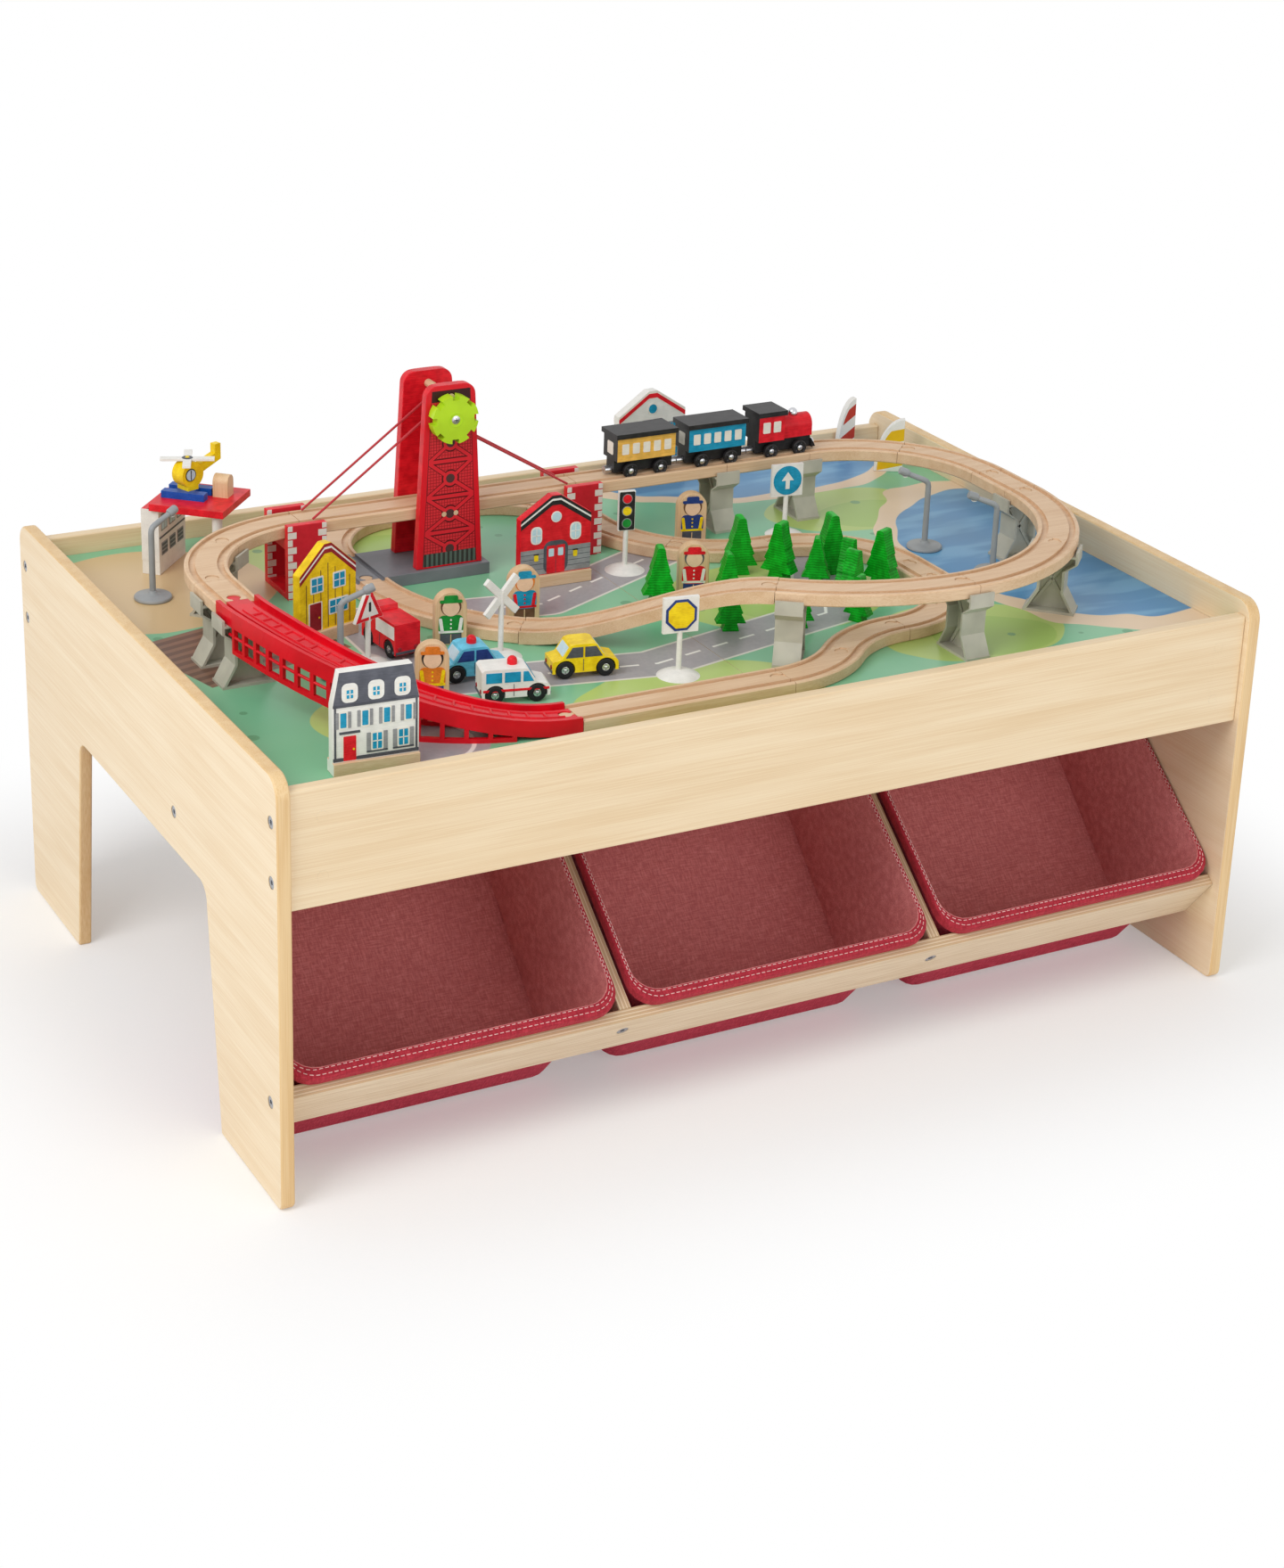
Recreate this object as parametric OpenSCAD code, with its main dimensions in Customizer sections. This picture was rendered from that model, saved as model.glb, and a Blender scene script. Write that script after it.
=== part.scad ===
// Wooden train table with a tilted row of storage bins under its tray and a
// wooden railway with a lift bridge, road toys and scenery on its play board.
// Millimetres, +Z up, origin on the floor under the middle of the table.
// The bins face -Y. The railway is one closed loop, walked clockwise.

/* [Table] */
// Length over both end panels
table_l = 1000; // [960:5:1200]
// Depth of an end panel, front to back
table_w = 675; // [660:5:800]
// Height of an end panel
table_h = 400; // [380:5:500]
// Thickness of an end panel
panel_t = 13; // [12:0.5:20]
// Radius of an end panel's top corners
panel_top_r = 20; // [10:1:40]
// Radius of an end panel's foot corners
panel_foot_r = 8; // [4:1:12]
// Height of the arch cut in an end panel
arch_h = 231; // [150:1:232]
// Width of the arch at its top
arch_top_w = 338; // [280:2:360]
// Width of the arch at the floor
arch_foot_w = 392; // [362:2:420]
// Radius of the arch's two corners
arch_r = 16; // [8:1:40]
// Height of the front and back aprons
apron_h = 108; // [90:1:112]
// Thickness of an apron
apron_t = 12.5; // [12:0.5:18]
// Step from an end panel's top edge down to the aprons
apron_drop = 14.5; // [5:0.5:30]
// Setback of the front apron from the panels' front edges
front_setback = 6.5; // [2:0.5:12]
// Setback of the back apron from the panels' back edges
back_setback = 10; // [2:0.5:14]
// Step from the aprons' top edge down to the play board
board_drop = 19.5; // [10:0.5:40]
// Thickness of the play board
board_t = 9; // [6:0.5:15]
// Width and height of the cleats and the batten under the board
cleat = 18; // [12:1:25]

/* [Bins] */
// Tilt of the bin frame
bin_tilt = 38; // [36:1:40]
// Height of a bin rail, square to the tilted frame
rail_h = 58; // [40:1:60]
// Thickness of the rails and dividers
rail_t = 12; // [9:0.5:15]
// Clear length between the two rails, along the slope
bin_bay_l = 270; // [240:1:275]
// Height of a divider
divider_h = 44; // [30:1:58]
// Depth of a bin at its front wall
bin_depth = 135; // [100:1:137]
// Depth of a bin at its back wall
bin_back_depth = 110; // [80:1:125]
// Thickness of a bin's padded wall
bin_wall = 4; // [2.5:0.5:6]
// Radius of a bin's corners
bin_r = 25; // [15:1:40]
// Width of the bound hem round a bin's mouth
hem_h = 12; // [8:1:15]
// How far the hem laps over each rail
hem_lap = 5; // [3:0.5:8]
// How far each side of a bin draws in at the bottom
bin_taper = 16; // [4:0.5:20]
// How far the front of a bin draws in at the bottom
bin_front_taper = 2; // [0:0.5:8]
// How far the back of a bin hangs forward at the bottom
bin_back_taper = 45; // [10:1:55]

/* [Fasteners] */
// Diameter of a bolt's shank
bolt_d = 6; // [5:0.5:7]
// Diameter of a bolt's head
bolt_head_d = 11; // [9:0.5:13]
// Length of a bolt, head included
bolt_l = 52; // [40:1:60]
// Diameter of a barrel nut
barrel_d = 10; // [9:0.5:12]

/* [Track] */
// Width of the wooden track
track_w = 40; // [38:0.5:42]
// Thickness of the wooden track
track_t = 12; // [11:0.5:14]
// Width of a wheel groove
groove_w = 6; // [5.5:0.1:7]
// Depth of a wheel groove
groove_d = 3; // [2:0.1:4]
// Distance between the middles of the two grooves
groove_gauge = 26; // [25:0.5:27]
// Height of the raised track above the board
rise = 60; // [56:1:66]
// Radius of the raised right-hand curve
large_r = 199; // [190:1:204]
// Radius of the raised rear right-hand curve
small_r = 140; // [130:1:146]
// Radius of the raised left-hand curve
left_r = 130; // [122:1:136]
// Radius of the raised front curve above the ramp
front_r = 288; // [275:1:300]
// Radius of the moulded curved ramp
red_r = 222; // [216:1:226]
// Radius of the two rear ground curves
rear_r = 105; // [98:1:110]
// Radius of the right-hand ground curves
ground_r = 100; // [96:1:104]
// Radius of the ground curve at the ramp's foot
foot_r = 205; // [200:1:208]

/* [Bridge] */
// Length of one bridge leaf from the middle to its end
leaf_l = 148; // [142:1:152]
// Height of a bridge tower above its base
tower_h = 184; // [170:1:230]
// Width of a tower at its foot
tower_foot_w = 70; // [64:1:74]
// Width of a tower at its top
tower_top_w = 52; // [48:1:64]
// Thickness of a tower
tower_t = 10; // [8:0.5:11]
// Diameter of the hinge dowels
hinge_d = 5; // [4:0.25:6]
// Diameter of the winding spindle
spindle_d = 10; // [8:0.5:12]
// Diameter of the winding knob
knob_d = 48; // [40:1:54]
// Thickness of the winding knob
knob_t = 11; // [8:0.5:14]

/* [Rolling stock] */
// Diameter of a rail wheel
wheel_d = 16; // [14:0.5:17]
// Width of a rail wheel
wheel_w = 5; // [4:0.1:5.2]
// Length of a rail vehicle's chassis
wagon_l = 66; // [60:1:68]
// Diameter of a road wheel
tyre_d = 17; // [15:0.5:18]
// Diameter of all axles
axle_d = 3; // [2.5:0.25:3.5]

/* [Hidden] */
$fn = 48;

// Overrun of a cut past the face it starts from
over = 1;
// Gap between wooden pieces that lie loosely together
loose = 0.5;
// Gap between pieces that move past each other
running = 0.3;
// Radial gap of a pin in its hole
pin_gap = 0.05;
// Gap at a seam between two track pieces
seam = 0.5;
// Smallest breadth that a hull needs
sliver = 0.01;

// Table
half_l = table_l / 2;
half_w = table_w / 2;
inner_x = half_l - panel_t;
apron_top = table_h - apron_drop;
apron_bottom = apron_top - apron_h;
board_top = apron_top - board_drop;
board_bottom = board_top - board_t;
front_y = -half_w + front_setback;
back_y = half_w - back_setback;
tray_front = front_y + apron_t;
tray_back = back_y - apron_t;
arc_steps = 8;

// Bins
rail_setback = 10;
rail_height = 101;
frame_y = -half_w + rail_setback;
bay_w = (2 * inner_x - 2 * rail_t) / 3;
bin_gap = 2;
hem_side = 1.2;
divider_x = bay_w / 2 + rail_t / 2;
back_rail_y = rail_t + bin_bay_l;
bin_places = [-bay_w - rail_t, 0, bay_w + rail_t];

// Fasteners
bolt_slack = 0.2;
bolt_hole = bolt_d / 2 + bolt_slack;
bolt_head_t = 2.5;
bolt_sink = 0.4;
head_gap = 0.3;
socket_d = 5;
socket_depth = 1.6;
apron_bolt_share = 0.25;
rail_bolt_drop = 11;
bolt_reach = bolt_l + bolt_sink;
barrel_x = half_l - bolt_reach + barrel_d;
screw_l = 40;

// Track levels
low = board_top;
high = board_top + rise;
deck = high + track_t;
track_edge = 1.2;
peg_r = 6;
peg_neck = 6;
peg_reach = 8;
peg_gap = 0.4;
peg_inset = 1;

// Bridge
bridge_x = -140;
bridge_y = 142;
bridge_side = 1.5;
base_t = track_t;
base_margin = 5;
base_end = 6;
crossing_reach = 87;
crossing_x = bridge_x - crossing_reach;
crossing_margin = 15;
base_left = crossing_x - track_w / 2 - crossing_margin;
base_right = bridge_x + tower_foot_w / 2 + base_end;
tower_y = track_w / 2 + bridge_side;
base_half = tower_y + tower_t + base_margin;
base_front = bridge_y - base_half;
base_back = bridge_y + base_half;
base_top = low + base_t;
tower_corner = 12;
hinge_z = high + track_t / 2;
nose_r = track_t / 2;
hinge_x = nose_r + running;
spindle_share = 0.826;
spindle_z = base_top + tower_h * spindle_share;
spacer_d = 8;
spacer_share = 0.93;
spacer_z = base_top + tower_h * spacer_share;
knob_teeth = 8;
notch_w = 7;
notch_d = 4.5;
knob_screw_d = 8;
knob_screw_t = 1.5;
support_w = 40;
support_t = 8;
support_shelf = 10;
support_rim = 3;
support_foot = 6;
support_gap = 2.3;
leaf_left_x = bridge_x - leaf_l;
leaf_right_x = bridge_x + leaf_l;
cord_d = 2.4;
cord_inset = 12;
cord_side = 14;
cord_sides = 8;

// Railway layout
left_x = leaf_left_x - left_r;
right_x = 415;
front_line = -256;
ground_front = -264;
ground_mid = 47;
ground_low = -195;
rear_x = 52;
mid_r = base_back - ground_mid;
loop_x = rear_x + mid_r;
bend = 45;
s_drop = ground_low - ground_front;
s_r = s_drop / (2 * (1 - cos(bend)));
s_end = loop_x - 2 * s_r * sin(bend);
red_y = ground_front + red_r;
rear_join_share = 0.63;
// The wooden ramp is the common tangent of the front and foot curves
foot_c = [crossing_x + foot_r, base_front];
front_c = [right_x - large_r, front_line + front_r];
c_dx = front_c[0] - foot_c[0];
c_dy = front_c[1] - foot_c[1];
c_dist = sqrt(c_dx * c_dx + c_dy * c_dy);
ramp_turn = asin((front_r - foot_r) / c_dist) - atan2(c_dy, c_dx);
ramp_l = sqrt(c_dist * c_dist - (front_r - foot_r) * (front_r - foot_r));
ramp_steps = 16;

// A track piece is [turn, length or radius, angle]: turn 0 straight, 1 left, -1 right
raised_left = [
  [0, bridge_y - left_r - red_y, 0],
  [-1, left_r, bend],
  [-1, left_r, bend]
];
back_run = right_x - small_r - leaf_right_x;
raised_right = [
  [0, back_run * rear_join_share, 0],
  [0, back_run * (1 - rear_join_share), 0],
  [-1, small_r, bend],
  [-1, small_r, bend],
  [0, bridge_y - small_r - front_line - large_r, 0],
  [-1, large_r, bend],
  [-1, large_r, bend],
  [-1, front_r, ramp_turn]
];
ground_left = [
  [-1, foot_r, 90 - ramp_turn]
];
ground_loop = [
  [-1, rear_r, bend],
  [-1, rear_r, bend],
  [0, rear_x - rear_r - crossing_x - rear_r, 0],
  [-1, rear_r, bend],
  [-1, rear_r, bend],
  [1, mid_r, bend],
  [1, mid_r, bend],
  [-1, ground_r, bend],
  [-1, ground_r, bend],
  [0, ground_mid - ground_r - ground_low - ground_r, 0],
  [-1, ground_r, bend],
  [-1, ground_r, bend],
  [1, s_r, bend],
  [-1, s_r, bend],
  [0, s_end - left_x - red_r, 0]
];
// A pose is [x, y, heading]
raised_left_start = [left_x, red_y, 90];
raised_right_start = [leaf_right_x, bridge_y, 0];
ground_loop_start = [crossing_x, base_back, 90];

function step(p, s) =
  s[0] == 0
    ? [p[0] + s[1] * cos(p[2]), p[1] + s[1] * sin(p[2]), p[2]]
    : let (a = p[2] + s[0] * s[2])
      [p[0] + s[0] * s[1] * (sin(a) - sin(p[2])),
       p[1] - s[0] * s[1] * (cos(a) - cos(p[2])), a];
function pose(path, start, n) = n == 0 ? start : step(pose(path, start, n - 1), path[n - 1]);
function smooth(t) = t * t * (3 - 2 * t);
function arc(c, r, a, b, n = arc_steps) =
  [for (i = [0:n]) let (t = a + (b - a) * i / n) [c[0] + r * cos(t), c[1] + r * sin(t)]];

ramp_top_pose = pose(raised_right, raised_right_start, len(raised_right));
ramp_foot_pose = step(ramp_top_pose, [0, ramp_l, 0]);

// Piers
pier_w = 26;
pier_foot = 50;
pier_waist = 26;
pier_wall = 2.5;
pier_gap = 2;
pier_ear = 5;
pier_flare_share = 0.36;
pier_neck_share = 0.72;
pier_brow_share = 0.86;
pier_back = 14;

// Moulded ramp
red_steps = 12;
red_deck = track_t - groove_d;
red_rim = 4;
red_lip = 3;
red_truss = 24;
red_bar = 4;
red_post = 4;
red_bays = 9;
red_flat_l = 32;

// Rolling stock
axle_hole = axle_d / 2 + pin_gap;
wheel_seat = deck - groove_d + running;
axle_z = wheel_seat + wheel_d / 2;
wheel_base = 34;
chassis_w = 16;
chassis_h = 13;
wagon_w = 30;
wagon_body_h = 24;
wagon_roof_h = 5;
wagon_pitch = 82;
roof_lap = 2;
coupler_d = 8;
coupler_l = 7.4;
engine_x = 248.5;
boiler_d = 22;
boiler_share = 0.54;
dome_d = 10;
cab_h = 27;
hub_d = 8;
hub_t = 0.6;
wagon_z = axle_z - wheel_d / 2 + 6;

// Road cars
car_w = 26;
car_l = 62;
car_base = 38;
car_floor = 6;
car_wheel_w = 6;
car_hood_h = 17;
car_roof_h = 33;
car_beacon_d = 9;
beacon_share = 0.02;
tyre_gap = 0.5;
car_axle_z = low + running + tyre_d / 2;
car_place_shares = [
  [-0.274, -0.218, -6], [-0.260, -0.319, -13], [-0.161, -0.272, -11], [-0.322, -0.065, 96]
];
board_w = tray_back - tray_front;
// The railway and its scenery are laid out for a board of this length and width
set_board_l = 974;
set_board_w = 633.5;
set_share = min(2 * inner_x / set_board_l, board_w / set_board_w);
railway_l = right_x - left_x;
railway_w = base_back + rear_r - ground_front + track_w;

// The whole set grows or shrinks with the board that it stands on
module on_board() {
  translate([0, 0, low]) scale(set_share) translate([0, 0, -low]) children();
}

module at_pose(p, z) {
  translate([p[0], p[1], z]) rotate([0, 0, p[2]]) children();
}

// A place given as shares of the railway's length and width, with a heading
module at_share(s, z = low) {
  translate([s[0] * railway_l, s[1] * railway_w, z]) rotate([0, 0, s[2]]) children();
}

module in_frame() {
  translate([0, frame_y, rail_height]) rotate([bin_tilt, 0, 0]) children();
}

module rounded(w, l, r) {
  square([w - 2 * r, l], center = true);
  square([w, l - 2 * r], center = true);
  for (x = [-1, 1], y = [-1, 1]) translate([x * (w / 2 - r), y * (l / 2 - r)]) circle(r);
}

// Cylinder along +X from the origin
module rod(d, l) {
  rotate([0, 90, 0]) cylinder(d = d, h = l);
}

// Cylinder along +Y from the origin
module bar(d, l) {
  rotate([-90, 0, 0]) cylinder(d = d, h = l);
}

// Table

module panel_outline() {
  lean = atan2((arch_foot_w - arch_top_w) / 2, arch_h);
  corner = [arch_top_w / 2 - arch_r * tan(45 - lean / 2), arch_h - arch_r];
  right = arc(corner, arch_r, -lean, 90);
  left = [for (i = [len(right) - 1:-1:0]) [-right[i][0], right[i][1]]];
  foot = half_w - panel_foot_r;
  top = half_w - panel_top_r;
  difference() {
    polygon(concat(
      arc([-foot, panel_foot_r], panel_foot_r, 270, 180),
      arc([-top, table_h - panel_top_r], panel_top_r, 180, 90),
      arc([top, table_h - panel_top_r], panel_top_r, 90, 0),
      arc([foot, panel_foot_r], panel_foot_r, 0, -90)
    ));
    polygon(concat([[arch_foot_w / 2, 0], [arch_foot_w / 2, -over]],
      [[-arch_foot_w / 2, -over], [-arch_foot_w / 2, 0]], [for (i = [len(left) - 1:-1:0]) left[i]],
      [for (i = [len(right) - 1:-1:0]) right[i]]));
  }
}

// Places of the bolts through an end panel, as [y, z]
apron_bolt_z = [apron_bottom + apron_h * apron_bolt_share, apron_top - apron_h * apron_bolt_share];
function frame_point(s, n) = [
  frame_y + s * cos(bin_tilt) - n * sin(bin_tilt),
  rail_height + s * sin(bin_tilt) + n * cos(bin_tilt)
];
panel_bolt_places = [
  [front_y + apron_t / 2, apron_bolt_z[0]],
  [front_y + apron_t / 2, apron_bolt_z[1]],
  [back_y - apron_t / 2, apron_bolt_z[0]],
  [back_y - apron_t / 2, apron_bolt_z[1]],
  frame_point(rail_t / 2, -rail_bolt_drop),
  frame_point(back_rail_y + rail_t / 2, -rail_bolt_drop)
];

// Holes for the panel bolts, drilled inward from the left end's outer face
module panel_holes() {
  for (p = panel_bolt_places) translate([-half_l, p[0], p[1]]) {
    translate([-over, 0, 0]) rod(2 * bolt_hole, bolt_reach + barrel_d + over);
    translate([-over, 0, 0]) rod(bolt_head_d + 2 * head_gap, bolt_sink + bolt_head_t + over);
  }
}

module end_panel() {
  color("burlywood") difference() {
    translate([-half_l, 0, 0]) rotate([90, 0, 90]) linear_extrude(panel_t) panel_outline();
    panel_holes();
  }
}

module left_end_panel() end_panel();

module right_end_panel() mirror([1, 0, 0]) end_panel();

// Cross bores for the barrel nuts of the aprons
module barrel_bores(y) {
  for (x = [-1, 1], z = apron_bolt_z)
    translate([x * barrel_x, y, z]) translate([0, -over, 0]) bar(barrel_d + 2 * pin_gap, apron_t + 2 * over);
}

module apron(y) {
  color("wheat") difference() {
    translate([-inner_x, y, apron_bottom]) cube([2 * inner_x, apron_t, apron_h]);
    panel_holes();
    mirror([1, 0, 0]) panel_holes();
    barrel_bores(y);
  }
}

module front_apron() apron(front_y);

module back_apron() apron(back_y - apron_t);

module barrel_nuts() {
  color("silver") for (y = [front_y, back_y - apron_t], x = [-1, 1], z = apron_bolt_z)
    translate([x * barrel_x, y, z]) difference() {
      bar(barrel_d, apron_t);
      translate([-barrel_d, apron_t / 2, 0]) rod(bolt_d + 2 * pin_gap, 2 * barrel_d);
    }
}

module bolt(l) {
  difference() {
    union() {
      rod(bolt_head_d, bolt_head_t);
      rod(bolt_d, l);
    }
    translate([-over, 0, 0]) rotate([0, 90, 0]) cylinder(d = socket_d, h = socket_depth + over, $fn = 6);
  }
}

module frame_bolts() {
  color("silver") for (m = [0, 1], p = panel_bolt_places)
    mirror([m, 0, 0]) translate([-half_l + bolt_sink, p[0], p[1]]) bolt(bolt_l);
  color("silver") in_frame() for (x = [-divider_x, divider_x], m = [0, 1])
    translate([x, m * (back_rail_y + rail_t), -divider_h / 2]) mirror([0, m, 0])
      translate([0, bolt_sink, 0]) rotate([0, 0, 90]) bolt(screw_l);
}

// Board halves lie between the aprons on the cleats
module board_half(side) {
  x = side < 0 ? -inner_x + loose : loose / 2;
  color("mediumaquamarine") translate([x, tray_front + loose, board_bottom])
    cube([inner_x - 1.5 * loose, board_w - 2 * loose, board_t]);
}

module play_board_left() board_half(-1);

module play_board_right() board_half(1);

// Cleats along the aprons, and a batten under the seam between the board halves
module board_cleats() {
  color("burlywood") for (y = [tray_front, tray_back - cleat])
    translate([-inner_x, y, board_bottom - cleat]) cube([2 * inner_x, cleat, cleat]);
  color("burlywood") translate([-cleat, tray_front + cleat + loose, board_bottom - cleat])
    cube([2 * cleat, board_w - 2 * cleat - 2 * loose, cleat]);
}

// Bin frame

module screw_holes(y) {
  for (x = [-divider_x, divider_x]) translate([x, y, -divider_h / 2]) {
    translate([0, -over, 0]) bar(2 * bolt_hole, screw_l + 2 * over);
    translate([0, -over, 0]) bar(bolt_head_d + 2 * head_gap, bolt_head_t + bolt_sink + over);
  }
}

module rail(y, front) {
  difference() {
    in_frame() translate([-inner_x, y, -rail_h]) cube([2 * inner_x, rail_t, rail_h]);
    panel_holes();
    mirror([1, 0, 0]) panel_holes();
    in_frame() translate([0, front ? y : y + rail_t, 0]) mirror([0, front ? 0 : 1, 0]) screw_holes(0);
  }
}

module bin_front_rail() color("wheat") rail(0, true);

module bin_back_rail() color("wheat") rail(back_rail_y, false);

module bin_dividers() {
  color("wheat") in_frame() difference() {
    for (x = [-divider_x, divider_x])
      translate([x - rail_t / 2, rail_t, -divider_h]) cube([rail_t, bin_bay_l, divider_h]);
    screw_holes(0);
    translate([0, back_rail_y + rail_t, 0]) mirror([0, 1, 0]) screw_holes(0);
  }
}

// A bin hangs by its hem on the two rails, with its back wall and its floor swung forward by its weight
module bin_form(grow, raise, top) {
  w = bay_w - 2 * bin_gap + 2 * grow;
  l = bin_bay_l - 2 * bin_gap + 2 * grow;
  low = raise - bin_depth;
  high = top + over;
  out_x = w / 2 + over;
  out_y = l / 2 + over;
  intersection() {
    translate([0, 0, low - over]) linear_extrude(top - low + over) rounded(w, l, bin_r + grow);
    rotate([90, 0, 90]) translate([0, 0, -out_x]) linear_extrude(2 * out_x) polygon([
      [-out_y, high], [-out_y, 0], [bin_front_taper - l / 2, low],
      [l / 2 - bin_back_taper, raise - bin_back_depth], [out_y, 0], [out_y, high]
    ]);
    rotate([90, 0, 0]) translate([0, 0, -out_y]) linear_extrude(2 * out_y) polygon([
      [-out_x, high], [-out_x, 0], [bin_taper - w / 2, low - over],
      [w / 2 - bin_taper, low - over], [out_x, 0], [out_x, high]
    ]);
  }
}

module bin(x) {
  hem_w = bay_w - 2 * bin_gap + 2 * hem_side;
  color("crimson") in_frame() translate([x, rail_t + bin_bay_l / 2, 0]) difference() {
    union() {
      bin_form(0, 0, running + hem_h);
      translate([0, 0, running]) linear_extrude(hem_h) rounded(hem_w, bin_bay_l + 2 * hem_lap, bin_r);
    }
    bin_form(-bin_wall, bin_wall, running + hem_h + over);
  }
}

module bin_left() bin(bin_places[0]);

module bin_middle() bin(bin_places[1]);

module bin_right() bin(bin_places[2]);

// Track

module track_section() {
  h = track_w / 2;
  e = track_edge;
  a = groove_gauge / 2 - groove_w / 2;
  b = groove_gauge / 2 + groove_w / 2;
  d = track_t - groove_d;
  half = [[h - e, 0], [h, e], [h, track_t - e], [h - e, track_t],
    [b, track_t], [b, d], [a, d], [a, track_t]];
  polygon(concat(half, [for (i = [len(half) - 1:-1:0]) [-half[i][0], half[i][1]]]));
}

// Peg outline at the origin, pointing along +X
module peg_shape(grow) {
  translate([peg_reach, 0]) circle(peg_r + grow);
  translate([-over, -peg_neck / 2 - grow]) square([peg_reach + over, peg_neck + 2 * grow]);
}

module peg() {
  translate([0, 0, peg_inset]) linear_extrude(track_t - 2 * peg_inset) peg_shape(0);
}

module peg_socket() {
  translate([0, 0, -over]) linear_extrude(track_t + 2 * over) peg_shape(peg_gap);
}

module straight(l) {
  translate([seam / 2, 0, 0]) rotate([90, 0, 90]) linear_extrude(l - seam) track_section();
}

module curve(r, angle) {
  trim = seam / 2 / r * 180 / PI;
  translate([0, r, 0]) rotate([0, 0, trim - 90]) rotate_extrude(angle = angle - 2 * trim)
    translate([r, 0]) track_section();
}

module track_piece(s, socketed, pegged) {
  end = step([0, 0, 0], s);
  difference() {
    union() {
      if (s[0] == 0) straight(s[1]);
      if (s[0] == 1) curve(s[1], s[2]);
      if (s[0] == -1) mirror([0, 1, 0]) curve(s[1], s[2]);
      if (pegged) at_pose(end, 0) translate([-seam / 2, 0, 0]) peg();
    }
    if (socketed) peg_socket();
  }
}

// The straight or the curved pieces of a path; ends says which ends are joined
module lay(path, start, z, straights, ends) {
  last = len(path) - 1;
  for (i = [0:last])
    if ((path[i][0] == 0) == straights)
      at_pose(pose(path, start, i), z)
        track_piece(path[i], i > 0 || ends[0], i < last || ends[1]);
}

module raised_straights() {
  color("tan") lay(raised_left, raised_left_start, high, true, [true, false]);
  color("tan") lay(raised_right, raised_right_start, high, true, [false, true]);
}

module raised_curves() {
  color("tan") lay(raised_left, raised_left_start, high, false, [true, false]);
  color("tan") lay(raised_right, raised_right_start, high, false, [false, true]);
}

module ground_straights() {
  color("tan") lay(ground_loop, ground_loop_start, low, true, [false, true]);
}

module ground_curves() {
  color("tan") lay(ground_left, ramp_foot_pose, low, false, [true, true]);
  color("tan") lay(ground_loop, ground_loop_start, low, false, [false, true]);
}

// Side profile of the wooden ramp between two heights above its own line
module ramp_profile(bottom, top) {
  line = [for (i = [0:ramp_steps]) let (t = i / ramp_steps)
    [seam / 2 + t * (ramp_l - seam), rise * (1 - smooth(t))]];
  polygon(concat([for (p = line) [p[0], p[1] + bottom]],
    [for (i = [ramp_steps:-1:0]) [line[i][0], line[i][1] + top]]));
}

module ramp_band(y, w, bottom, top) {
  translate([0, y + w / 2, 0]) rotate([90, 0, 0]) linear_extrude(w) ramp_profile(bottom, top);
}

module wood_ramp() {
  color("tan") at_pose(ramp_top_pose, low) difference() {
    union() {
      ramp_band(0, track_w, 0, track_t);
      translate([ramp_l - seam / 2, 0, 0]) peg();
    }
    for (y = [-1, 1]) ramp_band(y * groove_gauge / 2, groove_w, track_t - groove_d, track_t + over);
    translate([0, 0, rise]) peg_socket();
  }
}

// Moulded ramp: a grooved deck between two truss sides, swept along a quarter turn

function red_height(t) = rise * smooth(min(1, t / (1 - red_flat_share)));
function red_point(t, u, v) =
  let (a = 270 - 90 * t)
  [left_x + red_r + (red_r - u) * cos(a), red_y + (red_r - u) * sin(a), low + red_height(t) + v];

module red_sweep(section, t0, t1) {
  n = len(section);
  points = [for (i = [0:red_steps], p = section) red_point(t0 + (t1 - t0) * i / red_steps, p[0], p[1])];
  sides = [for (i = [0:red_steps - 1], j = [0:n - 1], k = [0, 1])
    let (a = i * n + j, b = i * n + (j + 1) % n, c = a + n, d = b + n) k == 0 ? [a, b, d] : [a, d, c]];
  caps = [[for (j = [n - 1:-1:0]) j], [for (j = [0:n - 1]) red_steps * n + j]];
  polyhedron(points, concat(sides, caps));
}

// Deck section: floor, two wheel grooves and a raised rim on each side
function red_deck_section() =
  let (h = track_w / 2, f = track_t - groove_d, t = track_t, l = track_t + red_lip,
       a = groove_gauge / 2 - groove_w / 2, b = groove_gauge / 2 + groove_w / 2)
  [[-h, f - red_deck], [h, f - red_deck], [h, l], [h - red_rim, l], [b, f], [a, f], [a, t],
   [-a, t], [-a, f], [-b, f], [-h + red_rim, l], [-h, l]];

module red_side(u, t0, t1) {
  inner = u - red_bar / 2;
  outer = u + red_bar / 2;
  top = track_t - groove_d - red_deck;
  for (i = [0:red_bays])
    let (t = t0 + (t1 - t0) * i / red_bays, drop = min(red_truss, red_height(t) + top)) {
    if (drop > red_bar) hull() for (v = [top + sliver, top - drop + sliver])
      translate(red_point(t, u, v)) rotate([0, 0, -90 * t]) cube([red_post, red_bar, sliver], center = true);
  }
  for (i = [0:red_bays - 1])
    let (a = t0 + (t1 - t0) * i / red_bays, b = t0 + (t1 - t0) * (i + 1) / red_bays) {
    if (red_height(a) + top > red_bar) hull() for (t = [a, b])
      let (drop = min(red_truss, red_height(t) + top))
        translate(red_point(t, u, top - drop + red_bar / 2)) rotate([0, 0, -90 * t])
          cube([red_post, red_bar, red_bar], center = true);
  }
}

module red_half(t0, t1, side_start, side_end) {
  red_sweep(red_deck_section(), t0, t1);
  for (u = [-1, 1]) red_side(u * (track_w / 2 - red_bar / 2), side_start, side_end);
}

red_arc = red_r * PI / 2;
red_gap_share = seam / red_arc;
red_post_share = (red_post / 2 + 2 * seam) / red_arc;
red_flat_share = red_flat_l / red_arc;

module red_ramp_lower() {
  color("red") difference() {
    red_half(red_gap_share, 0.5 - red_gap_share, red_gap_share, 0.5 - red_post_share);
    at_pose([left_x + red_r, ground_front, 180], low) peg_socket();
  }
}

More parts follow.
